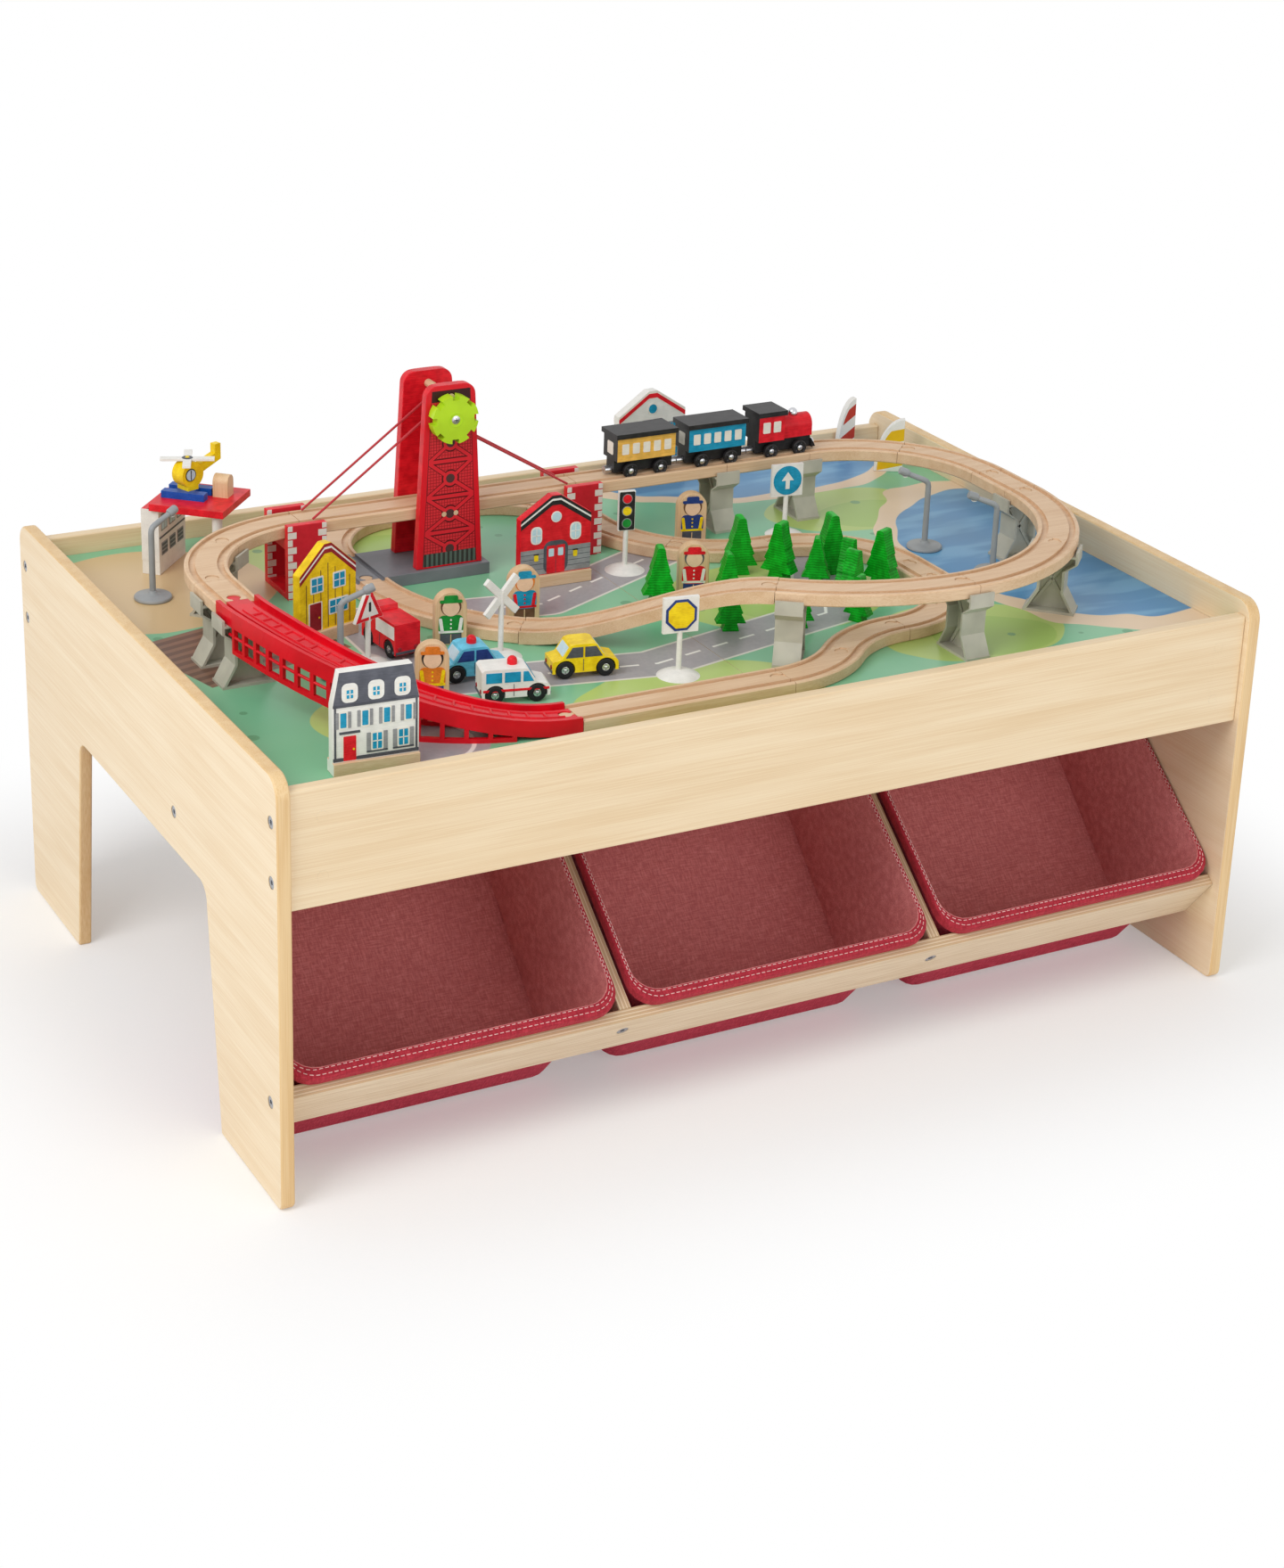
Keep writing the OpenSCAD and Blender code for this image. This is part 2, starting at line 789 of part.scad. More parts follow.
module red_ramp_upper() {
  color("red") red_half(0.5 + red_gap_share, 1 - red_gap_share, 0.5 + red_post_share, 1 - red_flat_share);
  color("red") at_pose(raised_left_start, high) peg();
}

// Piers: bent side plates on a foot, with a saddle and two ears that hold the track

module pier_side() {
  flare = rise * pier_flare_share;
  neck = rise * pier_neck_share;
  brow = rise * pier_brow_share;
  ear = track_w / 2 + pier_gap;
  w = pier_wall;
  inner = [[pier_foot / 2 - w, 0], [pier_waist / 2 - w, flare], [pier_waist / 2 - w, neck], [ear, brow],
    [ear, rise + pier_ear]];
  polygon(concat(inner, [for (i = [len(inner) - 1:-1:0]) [inner[i][0] + w, inner[i][1]]]));
}

module pier_web() {
  half = [[pier_foot / 2 - pier_wall, 0], [pier_waist / 2 - pier_wall / 2, rise * pier_flare_share],
    [pier_waist / 2 - pier_wall / 2, rise * pier_neck_share],
    [track_w / 2, rise * pier_brow_share], [track_w / 2, rise]];
  polygon(concat(half, [for (i = [len(half) - 1:-1:0]) [-half[i][0], half[i][1]]]));
}

module pier() {
  rotate([90, 0, 90]) {
    translate([0, 0, -pier_w / 2]) linear_extrude(pier_w) {
      pier_side();
      mirror([1, 0]) pier_side();
      translate([-pier_foot / 2, 0]) square([pier_foot, pier_wall]);
      translate([-track_w / 2 - pier_gap - pier_wall / 2, rise - pier_wall])
        square([track_w + 2 * pier_gap + pier_wall, pier_wall]);
    }
    translate([0, 0, -pier_wall / 2]) linear_extrude(pier_wall) pier_web();
  }
}

function back_up(p, d) = [p[0] - d * cos(p[2]), p[1] - d * sin(p[2]), p[2]];
pier_poses = [
  back_up(pose(raised_left, raised_left_start, 1), pier_back),
  pose(raised_left, raised_left_start, 2),
  back_up(raised_left_start, pier_back),
  pose(raised_right, raised_right_start, 1),
  pose(raised_right, raised_right_start, 2),
  pose(raised_right, raised_right_start, 5),
  pose(raised_right, raised_right_start, 6),
  pose(raised_right, raised_right_start, 7),
  back_up(ramp_top_pose, pier_back)
];

module track_piers() {
  color("darkgray") for (p = pier_poses) at_pose(p, low) pier();
}

// Lift bridge

module bridge_base() {
  color("slategray") difference() {
    translate([base_left, base_front, low]) cube([base_right - base_left, base_back - base_front, base_t]);
    for (x = [-1, 1])
      translate([crossing_x + x * groove_gauge / 2 - groove_w / 2, base_front - over, base_top - groove_d])
        cube([groove_w, base_back - base_front + 2 * over, groove_d + over]);
    translate([crossing_x, base_front, low]) rotate([0, 0, 90]) peg_socket();
  }
}

module tower_outline() {
  foot = tower_foot_w / 2;
  top = tower_top_w / 2;
  polygon(concat([[-foot, 0], [foot, 0]],
    arc([top - tower_corner, tower_h - tower_corner], tower_corner, 0, 90),
    arc([tower_corner - top, tower_h - tower_corner], tower_corner, 90, 180)));
}

// Cross pieces between the towers as [x, z, diameter]
cross_places = [
  [-hinge_x, hinge_z, hinge_d], [hinge_x, hinge_z, hinge_d],
  [0, spindle_z, spindle_d], [0, spacer_z, spacer_d]
];

module tower(y) {
  color("crimson") difference() {
    translate([bridge_x, y + tower_t, base_top]) rotate([90, 0, 0]) linear_extrude(tower_t) tower_outline();
    for (c = cross_places) translate([bridge_x + c[0], y - over, c[1]])
      bar(c[2] + 2 * pin_gap, tower_t + 2 * over);
  }
}

module bridge_tower_front() tower(bridge_y - tower_y - tower_t);

module bridge_tower_back() tower(bridge_y + tower_y);

span = 2 * (tower_y + tower_t);

module bridge_dowels() {
  color("burlywood") for (i = [0, 1, 3]) let (c = cross_places[i])
    translate([bridge_x + c[0], bridge_y - span / 2, c[1]]) bar(c[2], span);
}

knob_y = bridge_y - span / 2 - running - knob_t;
knob_face = 3;
knob_seat = knob_t - knob_face;

module winder_spindle() {
  color("burlywood") translate([bridge_x, knob_y + knob_t - knob_seat, spindle_z])
    bar(spindle_d, span + knob_seat);
}

module winder_knob() {
  color("greenyellow") translate([bridge_x, knob_y, spindle_z]) difference() {
    bar(knob_d, knob_t);
    for (i = [0:knob_teeth - 1]) rotate([0, i * 360 / knob_teeth, 0])
      translate([knob_d / 2 - notch_d, -over, -notch_w / 2])
        cube([notch_d + over, knob_t + 2 * over, notch_w]);
    translate([0, knob_t - knob_seat, 0]) bar(spindle_d + 2 * pin_gap, knob_seat + over);
    translate([0, -over, 0]) bar(knob_screw_d + 2 * pin_gap, knob_screw_t + over);
  }
  color("silver") translate([bridge_x, knob_y, spindle_z]) bar(knob_screw_d, knob_screw_t);
}

// A leaf turns on its hinge dowel, with a round nose at the hinge
module leaf(side) {
  reach = leaf_l - hinge_x;
  color("tan") translate([bridge_x + side * hinge_x, bridge_y, 0])
    mirror([side < 0 ? 1 : 0, 0, 0]) difference() {
    union() {
      translate([0, 0, high]) rotate([90, 0, 90]) linear_extrude(reach - seam) track_section();
      translate([0, -track_w / 2, hinge_z]) bar(2 * nose_r, track_w);
    }
    translate([0, -track_w / 2 - over, hinge_z]) bar(hinge_d + 2 * pin_gap, track_w + 2 * over);
    for (y = [-1, 1])
      translate([-nose_r - over, y * groove_gauge / 2 - groove_w / 2, deck - groove_d])
        cube([nose_r + 2 * over, groove_w, groove_d + over]);
  }
}

module bridge_leaf_left() leaf(-1);

module bridge_leaf_right() leaf(1);

// Supports stand on both sides of the track where a leaf meets the fixed track
module bridge_supports() {
  wall_y = track_w / 2 + support_gap;
  color("crimson") for (x = [leaf_left_x, leaf_right_x]) translate([x - support_w / 2, bridge_y, low]) {
    for (y = [-wall_y - support_t, wall_y])
      translate([0, y, 0]) cube([support_w, support_t, rise + track_t + support_rim]);
    translate([0, -wall_y, rise - support_shelf - running]) cube([support_w, 2 * wall_y, support_shelf]);
    translate([0, -wall_y, 0]) cube([support_w, 2 * wall_y, support_foot]);
  }
}

// A straight cord from the spindle to a leaf's outer corner
module cord(from, to) {
  d = to - from;
  l = norm(d);
  translate(from) rotate([0, acos(d[2] / l), atan2(d[1], d[0])])
    cylinder(d = cord_d, h = l, $fn = cord_sides);
}

// The left cords leave the spindle over its top and the right cords from below
module leaf_cords(side) {
  away = spindle_d / 2 + cord_d / 2 + running;
  lean = atan2(spindle_z - deck, leaf_l - cord_inset);
  color("firebrick") for (y = [-1, 1])
    cord([bridge_x - away * sin(lean), bridge_y + y * cord_side, spindle_z - side * away * cos(lean)],
      [bridge_x + side * (leaf_l - cord_inset), bridge_y + y * cord_side, deck + cord_d / 2]);
}

module bridge_cords_left() leaf_cords(-1);

module bridge_cords_right() leaf_cords(1);

// Train

module wheelset(x) {
  color("black") translate([x, bridge_y, axle_z]) {
    translate([0, -groove_gauge / 2 - wheel_w / 2, 0]) bar(axle_d, groove_gauge + wheel_w);
    for (y = [-1, 1]) {
      translate([0, y * groove_gauge / 2 - wheel_w / 2, 0]) bar(wheel_d, wheel_w);
      translate([0, y * groove_gauge / 2 - wheel_w / 2 - hub_t, 0]) bar(hub_d, wheel_w + 2 * hub_t);
    }
  }
}

module chassis() {
  difference() {
    union() {
      translate([-wagon_l / 2, -chassis_w / 2, wagon_z]) cube([wagon_l, chassis_w, chassis_h]);
      for (x = [-wagon_l / 2 - coupler_l, wagon_l / 2])
        translate([x, 0, axle_z]) rod(coupler_d, coupler_l);
    }
    for (x = [-1, 1]) translate([x * wheel_base / 2, -wagon_w / 2, axle_z]) bar(2 * axle_hole, wagon_w);
  }
}

module coach(x, paint) {
  body_z = wagon_z + chassis_h;
  translate([x, bridge_y, 0]) {
    color("black") chassis();
    color(paint) translate([-wagon_l / 2, -wagon_w / 2, body_z]) cube([wagon_l, wagon_w, wagon_body_h]);
    color("black") translate([-wagon_l / 2 - roof_lap, -wagon_w / 2 - roof_lap, body_z + wagon_body_h])
      cube([wagon_l + 2 * roof_lap, wagon_w + 2 * roof_lap, wagon_roof_h]);
  }
}

blue_x = engine_x - wagon_pitch;
yellow_x = blue_x - wagon_pitch;

module blue_coach() coach(blue_x, "deepskyblue");

module yellow_coach() coach(yellow_x, "gold");

module engine() {
  body_z = wagon_z + chassis_h;
  cab_l = wagon_l * (1 - boiler_share);
  boiler_l = wagon_l * boiler_share;
  translate([engine_x, bridge_y, 0]) {
    color("black") chassis();
    color("red") translate([-wagon_l / 2, -wagon_w / 2, body_z]) cube([cab_l, wagon_w, cab_h]);
    color("red") translate([cab_l - wagon_l / 2, 0, body_z]) {
      translate([0, -boiler_d / 2, 0]) cube([boiler_l, boiler_d, boiler_d / 2]);
      translate([0, 0, boiler_d / 2]) rod(boiler_d, boiler_l);
    }
    color("black") translate([-wagon_l / 2 - roof_lap, -wagon_w / 2 - roof_lap, body_z + cab_h])
      cube([cab_l + 2 * roof_lap, wagon_w + 2 * roof_lap, wagon_roof_h]);
    color("silver") translate([wagon_l / 2 - boiler_l / 2, 0, body_z + boiler_d]) sphere(d = dome_d);
  }
}

module engine_front_wheels() wheelset(engine_x + wheel_base / 2);

module engine_rear_wheels() wheelset(engine_x - wheel_base / 2);

module blue_coach_front_wheels() wheelset(blue_x + wheel_base / 2);

module blue_coach_rear_wheels() wheelset(blue_x - wheel_base / 2);

module yellow_coach_front_wheels() wheelset(yellow_x + wheel_base / 2);

module yellow_coach_rear_wheels() wheelset(yellow_x - wheel_base / 2);

// Road cars

// Side outline of a car as shares of its length and roof height, from tail to nose
saloon_shares = [[0, 0.18], [0, 0.52], [0.14, 0.58], [0.27, 0.96], [0.34, 1], [0.60, 1], [0.67, 0.96],
  [0.80, 0.58], [0.97, 0.50], [1, 0.42], [1, 0.18]];
van_shares = [[0, 0.18], [0, 0.93], [0.04, 1], [0.62, 1], [0.68, 0.96], [0.80, 0.60], [0.96, 0.52],
  [1, 0.44],
  [1, 0.18]];
truck_shares = [[0, 0.18], [0, 1.08], [0.60, 1.08], [0.62, 0.9], [0.66, 1.2], [0.9, 1.2],
  [1, 0.7], [1, 0.18]];
car_outlines = [saloon_shares, van_shares, saloon_shares, truck_shares];

module car_body(i) {
  arch = tyre_d / 2 + tyre_gap + running;
  paints = ["skyblue", "white", "yellow", "red"];
  at_share(car_place_shares[i]) {
    color(paints[i]) difference() {
      translate([-car_l / 2, car_w / 2, 0]) rotate([90, 0, 0]) linear_extrude(car_w)
        polygon([for (s = car_outlines[i]) [s[0] * car_l, s[1] * car_roof_h]]);
      for (x = [-1, 1], y = [-1, 1]) translate([x * car_base / 2, y * car_w / 2, car_axle_z - low]) {
        translate([0, y > 0 ? -car_wheel_w + 1.5 * tyre_gap : -over, 0])
          bar(2 * arch, car_wheel_w - 1.5 * tyre_gap + over);
      }
      for (x = [-1, 1]) translate([x * car_base / 2, -car_w, car_axle_z - low])
        bar(2 * axle_hole, 2 * car_w);
    }
    if (i < 2) color("red") translate([-car_l * beacon_share, 0, car_roof_h]) {
      cylinder(d = car_beacon_d, h = car_beacon_d / 3);
      translate([0, 0, car_beacon_d / 3]) sphere(d = car_beacon_d);
    }
  }
}

module road_cars() for (i = [0:3]) car_body(i);

module car_wheels(i, end) {
  inset = tyre_gap;
  color("black") at_share(car_place_shares[i]) translate([end * car_base / 2, 0, car_axle_z - low]) {
    translate([0, -car_w / 2 - inset, 0]) bar(axle_d, car_w + 2 * inset);
    for (y = [-1, 1])
      translate([0, y > 0 ? car_w / 2 - car_wheel_w + 3 * tyre_gap : -car_w / 2 - inset, 0])
        bar(tyre_d, car_wheel_w - 2 * tyre_gap);
  }
}

module blue_car_front_wheels() car_wheels(0, 1);

module blue_car_rear_wheels() car_wheels(0, -1);

module white_van_front_wheels() car_wheels(1, 1);

module white_van_rear_wheels() car_wheels(1, -1);

module yellow_cab_front_wheels() car_wheels(2, 1);

module yellow_cab_rear_wheels() car_wheels(2, -1);

module truck_front_wheels() car_wheels(3, 1);

module truck_rear_wheels() car_wheels(3, -1);

// Helicopter and its stand

stand_shares = [-0.450, 0.415, -42];
stand_l = 66;
stand_w = 18;
stand_x = -12;
stand_y = 6;
stand_base_h = 14;
stand_wall_t = 6;
stand_wall_h = 53;
pad_l = 76;
pad_w = 74;
pad_y = 5;
pad_shift = 27;
pad_t = 7;
block_l = 26;
block_h = 14;
block_y = 8;
post_d = 10;
post_x = 55;
post_y = -22;
skid_l = 44;
skid_w = 30;
skid_h = 7;
skid_slot = 10;
cabin_d = 26;
cabin_w = 16;
cabin_lift = 9;
tail_l = 26;
tail_h = 7;
tail_rise = 7;
tail_end = cabin_d / 2 + tail_l;
tail_turn = 62;
fin_h = 16;
mast_d = 4;
mast_h = 4;
rotor_d = 52;
rotor_w = 8;
rotor_t = 2.5;
pad_top = low + stand_base_h + stand_wall_h + pad_t;
cabin_x = pad_shift - 12;
cabin_y = 5;
block_share = 0.6;
skid_slot_share = 0.3;
mast_share = 0.7;
mast_top_share = 0.75;
hub_share = 1.4;

module on_pad(z) {
  at_share(stand_shares, z) children();
}

module helicopter_stand() {
  on_pad(low) {
    color("burlywood") translate([stand_x - stand_w / 2, stand_y - stand_l / 2, 0])
      cube([stand_w, stand_l, stand_base_h]);
    color("white") for (x = [-stand_w / 2, stand_w / 2 - stand_wall_t])
      translate([stand_x + x, stand_y - stand_l / 2, stand_base_h])
      cube([stand_wall_t, stand_l, stand_wall_h]);
    color("burlywood") translate([post_x, post_y, 0]) cylinder(d = post_d, h = stand_base_h + stand_wall_h);
    color("red") translate([pad_shift - pad_l / 2, pad_y - pad_w / 2, stand_base_h + stand_wall_h])
      cube([pad_l, pad_w, pad_t]);
    color("burlywood") translate([pad_shift + pad_l / 2 - block_l, block_y, pad_top - low])
      block();
  }
}

// Wooden block with a rounded top
module block() {
  w = block_l * block_share;
  rotate([90, 0, 90]) linear_extrude(w) translate([w / 2, 0]) {
    translate([-w / 2, 0]) square([w, block_h]);
    translate([0, block_h]) intersection() {
      circle(w / 2);
      translate([-block_l, 0]) square([2 * block_l, block_l]);
    }
  }
}

module helicopter() {
  on_pad(pad_top) translate([cabin_x, cabin_y, 0]) {
    color("royalblue") translate([-skid_l / 2, -skid_w / 2, 0]) difference() {
      cube([skid_l, skid_w, skid_h]);
      for (x = [-over, skid_l * (1 - skid_slot_share)]) translate([x, (skid_w - skid_slot) / 2, -over])
        cube([skid_l * skid_slot_share + over, skid_slot, skid_h + 2 * over]);
    }
    color("gold") translate([0, 0, skid_h]) rotate([0, 0, tail_turn]) {
      translate([-cabin_d / 4, -cabin_w / 2, 0]) cube([cabin_d / 2, cabin_w, cabin_lift]);
      translate([0, -cabin_w / 2, cabin_lift + cabin_d / 4]) bar(cabin_d, cabin_w);
      translate([0, tail_h / 2, cabin_lift + cabin_d / 4]) rotate([90, 0, 0])
        linear_extrude(tail_h) polygon([
        [0, -tail_rise], [tail_end, tail_rise], [tail_end, tail_rise + fin_h],
        [tail_end - tail_h, tail_rise + fin_h], [tail_end - tail_h, tail_rise + tail_h], [0, tail_h / 2]
      ]);
      translate([0, 0, cabin_lift + cabin_d * mast_share])
        cylinder(d = mast_d, h = cabin_d * (mast_top_share - mast_share) + mast_h);
    }
  }
}

rotor_z = pad_top + skid_h + cabin_lift + cabin_d * mast_top_share + running;

module helicopter_rotor() {
  color("white") on_pad(rotor_z) translate([cabin_x, cabin_y, 0]) difference() {
    union() {
      for (a = [20, 110]) rotate([0, 0, a])
        translate([-rotor_d / 2, -rotor_w / 2, 0]) cube([rotor_d, rotor_w, rotor_t]);
      cylinder(d = hub_share * rotor_w, h = rotor_t);
    }
    translate([0, 0, -over]) cylinder(d = mast_d + 2 * pin_gap, h = rotor_t + 2 * over);
  }
}

// Scenery

// Houses as [x share, y share, heading], wall width, wall height, roof rise
house_place_shares = [[-0.466, -0.469, -4], [-0.3758, 0.0170, 16], [-0.065, 0.097, -1], [0.2137, 0.4953, 4]];
house_widths = [76, 66, 76, 84];
house_walls = [50, 57, 58, 68];
house_roofs = [30, 26, 22, 24];
house_t = 10;
house_base_t = 18;
house_base_h = 12;
ridge_shares = [0.42, 0.06, 0.06, 0.06];
house_paints = ["white", "gold", "firebrick", "white"];

module toy_house(i) {
  w = house_widths[i];
  h = house_walls[i];
  at_share(house_place_shares[i]) {
    color("burlywood") translate([-w / 2, -house_base_t / 2, 0]) cube([w, house_base_t, house_base_h]);
    color(house_paints[i]) translate([0, house_t / 2, house_base_h]) rotate([90, 0, 0])
      linear_extrude(house_t)
      polygon([[-w / 2, 0], [w / 2, 0], [w / 2, h], [w * ridge_shares[i], h + house_roofs[i]],
        [-w * ridge_shares[i], h + house_roofs[i]], [-w / 2, h]]);
  }
}

// Two sails that stand in the sea, each a quarter round on its foot
sail_shares = [[0.5114, 0.5226, -2], [0.5138, 0.3950, -30]];
sail_h = 60;
sail_t = 8;
sail_width_shares = [0.35, 0.52];
sail_steps = 10;

module sail(i) {
  w = sail_h * sail_width_shares[i];
  color("white") at_share(sail_shares[i]) translate([0, sail_t / 2, 0]) rotate([90, 0, 0])
    linear_extrude(sail_t)
    polygon(concat([[w, 0]], [for (k = [0:sail_steps]) let (a = 90 * k / sail_steps)
      [w * (1 - cos(a)), sail_h * sin(a)]]));
}

module toy_buildings() {
  for (i = [0:3]) toy_house(i);
  for (i = [0, 1]) sail(i);
}

// Signs: place shares and heading; plate kinds 0 square, 1 triangle, 2 cross, 3 signal
sign_shares = [[-0.068, -0.341, -8], [0.274, 0.152, -8], [-0.361, -0.104, 20], [-0.221, -0.162, 10],
  [0.033, 0.104, -10]];
sign_kinds = [0, 0, 1, 2, 3];
sign_post_d = 5;
sign_post_h = 46;
sign_plate = 34;
sign_t = 4;
sign_dome_r = 20;
sign_dome_h = 6;
cross_w = 7;
signal_w = 17;
cross_share = 1.4;
signal_share = 1.2;

module sign_face(kind) {
  if (kind == 0) translate([-sign_plate / 2, 0]) square(sign_plate);
  if (kind == 1) polygon([[-sign_plate / 2, 0], [sign_plate / 2, 0], [0, sign_plate]]);
  if (kind == 2) translate([0, sign_plate / 2]) for (a = [45, -45]) rotate(a)
    square([cross_share * sign_plate, cross_w], center = true);
  if (kind == 3) translate([-signal_w / 2, 0]) square([signal_w, signal_share * sign_plate]);
}

module road_sign(i) {
  ball_r = (sign_dome_r * sign_dome_r + sign_dome_h * sign_dome_h) / (2 * sign_dome_h);
  color("white") at_share(sign_shares[i]) {
    intersection() {
      translate([0, 0, sign_dome_h - ball_r]) sphere(ball_r);
      cylinder(r = sign_dome_r, h = sign_dome_h);
    }
    cylinder(d = sign_post_d, h = sign_kinds[i] == 2 ? sign_post_h + sign_plate / 2 : sign_post_h);
    translate([0, sign_t / 2, sign_post_h - sign_t]) rotate([90, 0, 0])
      linear_extrude(sign_t) sign_face(sign_kinds[i]);
  }
}

module road_signs() for (i = [0:len(sign_shares) - 1]) road_sign(i);

// Street lamps: place shares and the heading of the arm
lamp_shares = [[-0.507, 0.289, 20], [-0.4034, -0.1387, -10], [0.408, -0.004, 160], [0.435, -0.155, 165]];
lamp_post_d = 6;
lamp_post_h = 72;
lamp_base_d = 36;
lamp_base_h = 4;
lamp_arm_l = 30;
lamp_arm_rise = 12;
lamp_arm_d = 5.6;
lamp_knee_d = 8;

module street_lamp(i) {
  arm = sqrt(lamp_arm_l * lamp_arm_l + lamp_arm_rise * lamp_arm_rise);
  color("slategray") at_share(lamp_shares[i]) {
    cylinder(d = lamp_base_d, h = lamp_base_h);
    cylinder(d = lamp_post_d, h = lamp_post_h);
    translate([0, 0, lamp_post_h]) sphere(d = lamp_knee_d);
    translate([0, 0, lamp_post_h]) rotate([0, 90 - atan2(lamp_arm_rise, lamp_arm_l), 0])
      cylinder(d = lamp_arm_d, h = arm);
  }
}

module street_lamps() for (i = [0:len(lamp_shares) - 1]) street_lamp(i);

// Pine trees: place shares, heading and scale
tree_shares = [
  [0.020, -0.050, -20, 1.05], [0.052, -0.205, -20, 0.9], [0.153, 0.015, -15, 1.1], [0.187, -0.037, -60, 1.1],
  [0.254, -0.045, -10, 1.15], [0.219, -0.081, -35, 0.9], [0.246, -0.118, 30, 0.95],
  [0.286, -0.135, -65, 1.1],
  [0.226, -0.178, 25, 1], [0.096, -0.088, -15, 0.9], [0.129, -0.239, -20, 0.85], [0.201, -0.254, -60, 0.85]
];
tree_w = 32;
tree_h = 54;
tree_t = 14;
tree_tiers = 4;
tree_trunk_share = 0.16;
tree_foot_share = 0.28;
tree_neck_share = 0.2;
tree_tip_share = 0.06;
tree_notch_share = 0.66;
tree_rise_share = 0.9;
tree_slim_share = 0.22;

module tree_outline() {
  trunk = tree_h * tree_trunk_share;
  tier = (tree_h - trunk) / tree_tiers;
  half = concat([[tree_w * tree_foot_share, 0], [tree_w * tree_neck_share, trunk]],
    [for (i = [0:tree_tiers - 1], k = [0, 1]) let (w = tree_w / 2 * (1 - i * tree_slim_share))
      [k == 0 ? w : w * tree_notch_share, trunk + tier * (i + tree_rise_share * k)]]);
  polygon(concat(half, [[tree_w * tree_tip_share, tree_h]], [[-tree_w * tree_tip_share, tree_h]],
    [for (i = [len(half) - 1:-1:0]) [-half[i][0], half[i][1]]]));
}

module pine_trees() {
  color("green") for (s = tree_shares) at_share(s) scale(s[3])
    translate([0, tree_t / 2, 0]) rotate([90, 0, 0]) linear_extrude(tree_t) tree_outline();
}

// Wooden figures: flat pegs with a round top
figure_shares = [[0.156, 0.190, -15], [0.070, -0.035, -20], [-0.147, -0.026, -10], [-0.255, -0.078, -15],
  [-0.336, -0.262, -20]];
figure_w = 30;
figure_h = 52;
figure_t = 12;

module toy_figures() {
  color("moccasin") for (s = figure_shares) at_share(s) translate([0, figure_t / 2, 0]) rotate([90, 0, 0])
    linear_extrude(figure_t) {
      translate([-figure_w / 2, 0]) square([figure_w, figure_h - figure_w / 2]);
      translate([0, figure_h - figure_w / 2]) circle(figure_w / 2);
    }
}

left_end_panel();
right_end_panel();
front_apron();
back_apron();
play_board_left();
play_board_right();
board_cleats();
bin_front_rail();
bin_back_rail();
bin_dividers();
bin_left();
bin_middle();
bin_right();
frame_bolts();
barrel_nuts();
on_board() raised_straights();
on_board() raised_curves();
on_board() wood_ramp();
on_board() red_ramp_upper();
on_board() red_ramp_lower();
on_board() ground_straights();
on_board() ground_curves();
on_board() track_piers();
on_board() bridge_base();
on_board() bridge_tower_front();
on_board() bridge_tower_back();
on_board() bridge_dowels();
on_board() bridge_supports();
on_board() bridge_leaf_left();
on_board() bridge_leaf_right();
on_board() winder_spindle();
on_board() winder_knob();
on_board() bridge_cords_left();
on_board() bridge_cords_right();
on_board() engine();
on_board() engine_front_wheels();
on_board() engine_rear_wheels();
on_board() blue_coach();
on_board() blue_coach_front_wheels();
on_board() blue_coach_rear_wheels();
on_board() yellow_coach();
on_board() yellow_coach_front_wheels();
on_board() yellow_coach_rear_wheels();
on_board() road_cars();
on_board() blue_car_front_wheels();
on_board() blue_car_rear_wheels();
on_board() white_van_front_wheels();
on_board() white_van_rear_wheels();
on_board() yellow_cab_front_wheels();
on_board() yellow_cab_rear_wheels();
on_board() truck_front_wheels();
on_board() truck_rear_wheels();
on_board() helicopter_stand();
on_board() helicopter();
on_board() helicopter_rotor();
on_board() toy_buildings();
on_board() road_signs();
on_board() street_lamps();
on_board() pine_trees();
on_board() toy_figures();
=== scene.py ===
# %% [markdown]
# # A wooden train table
# The table carries one closed loop of wooden track on two levels, a lift bridge that is wound up by a knob,
# a train and small painted toys, and three cloth bins hang in a tilted frame under it. The solids come from
# the CAD model. This lesson dresses them: edges are softened, cloth is drawn, and each finish is built from
# nodes, at the scale of the real wood, cloth, plastic and paint.

# %% Load the frame
import math
from functools import partialmethod

import bmesh
import bpy
from mathutils import Matrix, Vector


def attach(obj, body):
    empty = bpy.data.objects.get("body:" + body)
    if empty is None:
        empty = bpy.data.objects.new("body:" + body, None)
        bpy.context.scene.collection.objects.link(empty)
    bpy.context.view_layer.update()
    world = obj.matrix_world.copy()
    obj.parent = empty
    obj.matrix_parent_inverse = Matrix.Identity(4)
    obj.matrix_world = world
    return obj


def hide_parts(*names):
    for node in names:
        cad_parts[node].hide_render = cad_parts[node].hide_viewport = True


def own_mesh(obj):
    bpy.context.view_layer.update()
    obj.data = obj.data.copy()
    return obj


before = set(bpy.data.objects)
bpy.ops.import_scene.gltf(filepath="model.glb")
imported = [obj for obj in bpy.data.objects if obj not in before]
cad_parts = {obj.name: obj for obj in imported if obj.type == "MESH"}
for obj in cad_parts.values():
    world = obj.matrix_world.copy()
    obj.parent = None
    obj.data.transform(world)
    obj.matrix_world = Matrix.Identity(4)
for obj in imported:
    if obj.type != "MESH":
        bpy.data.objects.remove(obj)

MM = 0.001
BOARD_TOP = 366
SHARP_ANGLE, FLAT_ANGLE = math.radians(50), math.radians(0.5)
CORNER_ANGLE = 0.5
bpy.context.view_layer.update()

# %% [markdown]
# ## The camera
# The photograph was taken from the front left, a little above the table. The angles, the focal length and the
# place were solved from the table's own edges. The lens shift only moves the frame down, so that the
# uprights lean as they do in the photograph.

# %% Camera
image_w, image_h = 1440, 1759
azimuth, elevation, roll = (math.radians(v) for v in (-29.08, 21.33, 2.02))
focal, middle_x, middle_y = 3322.23, 720, 700
eye = Vector((-1.29164, -2.3505, 1.38252))

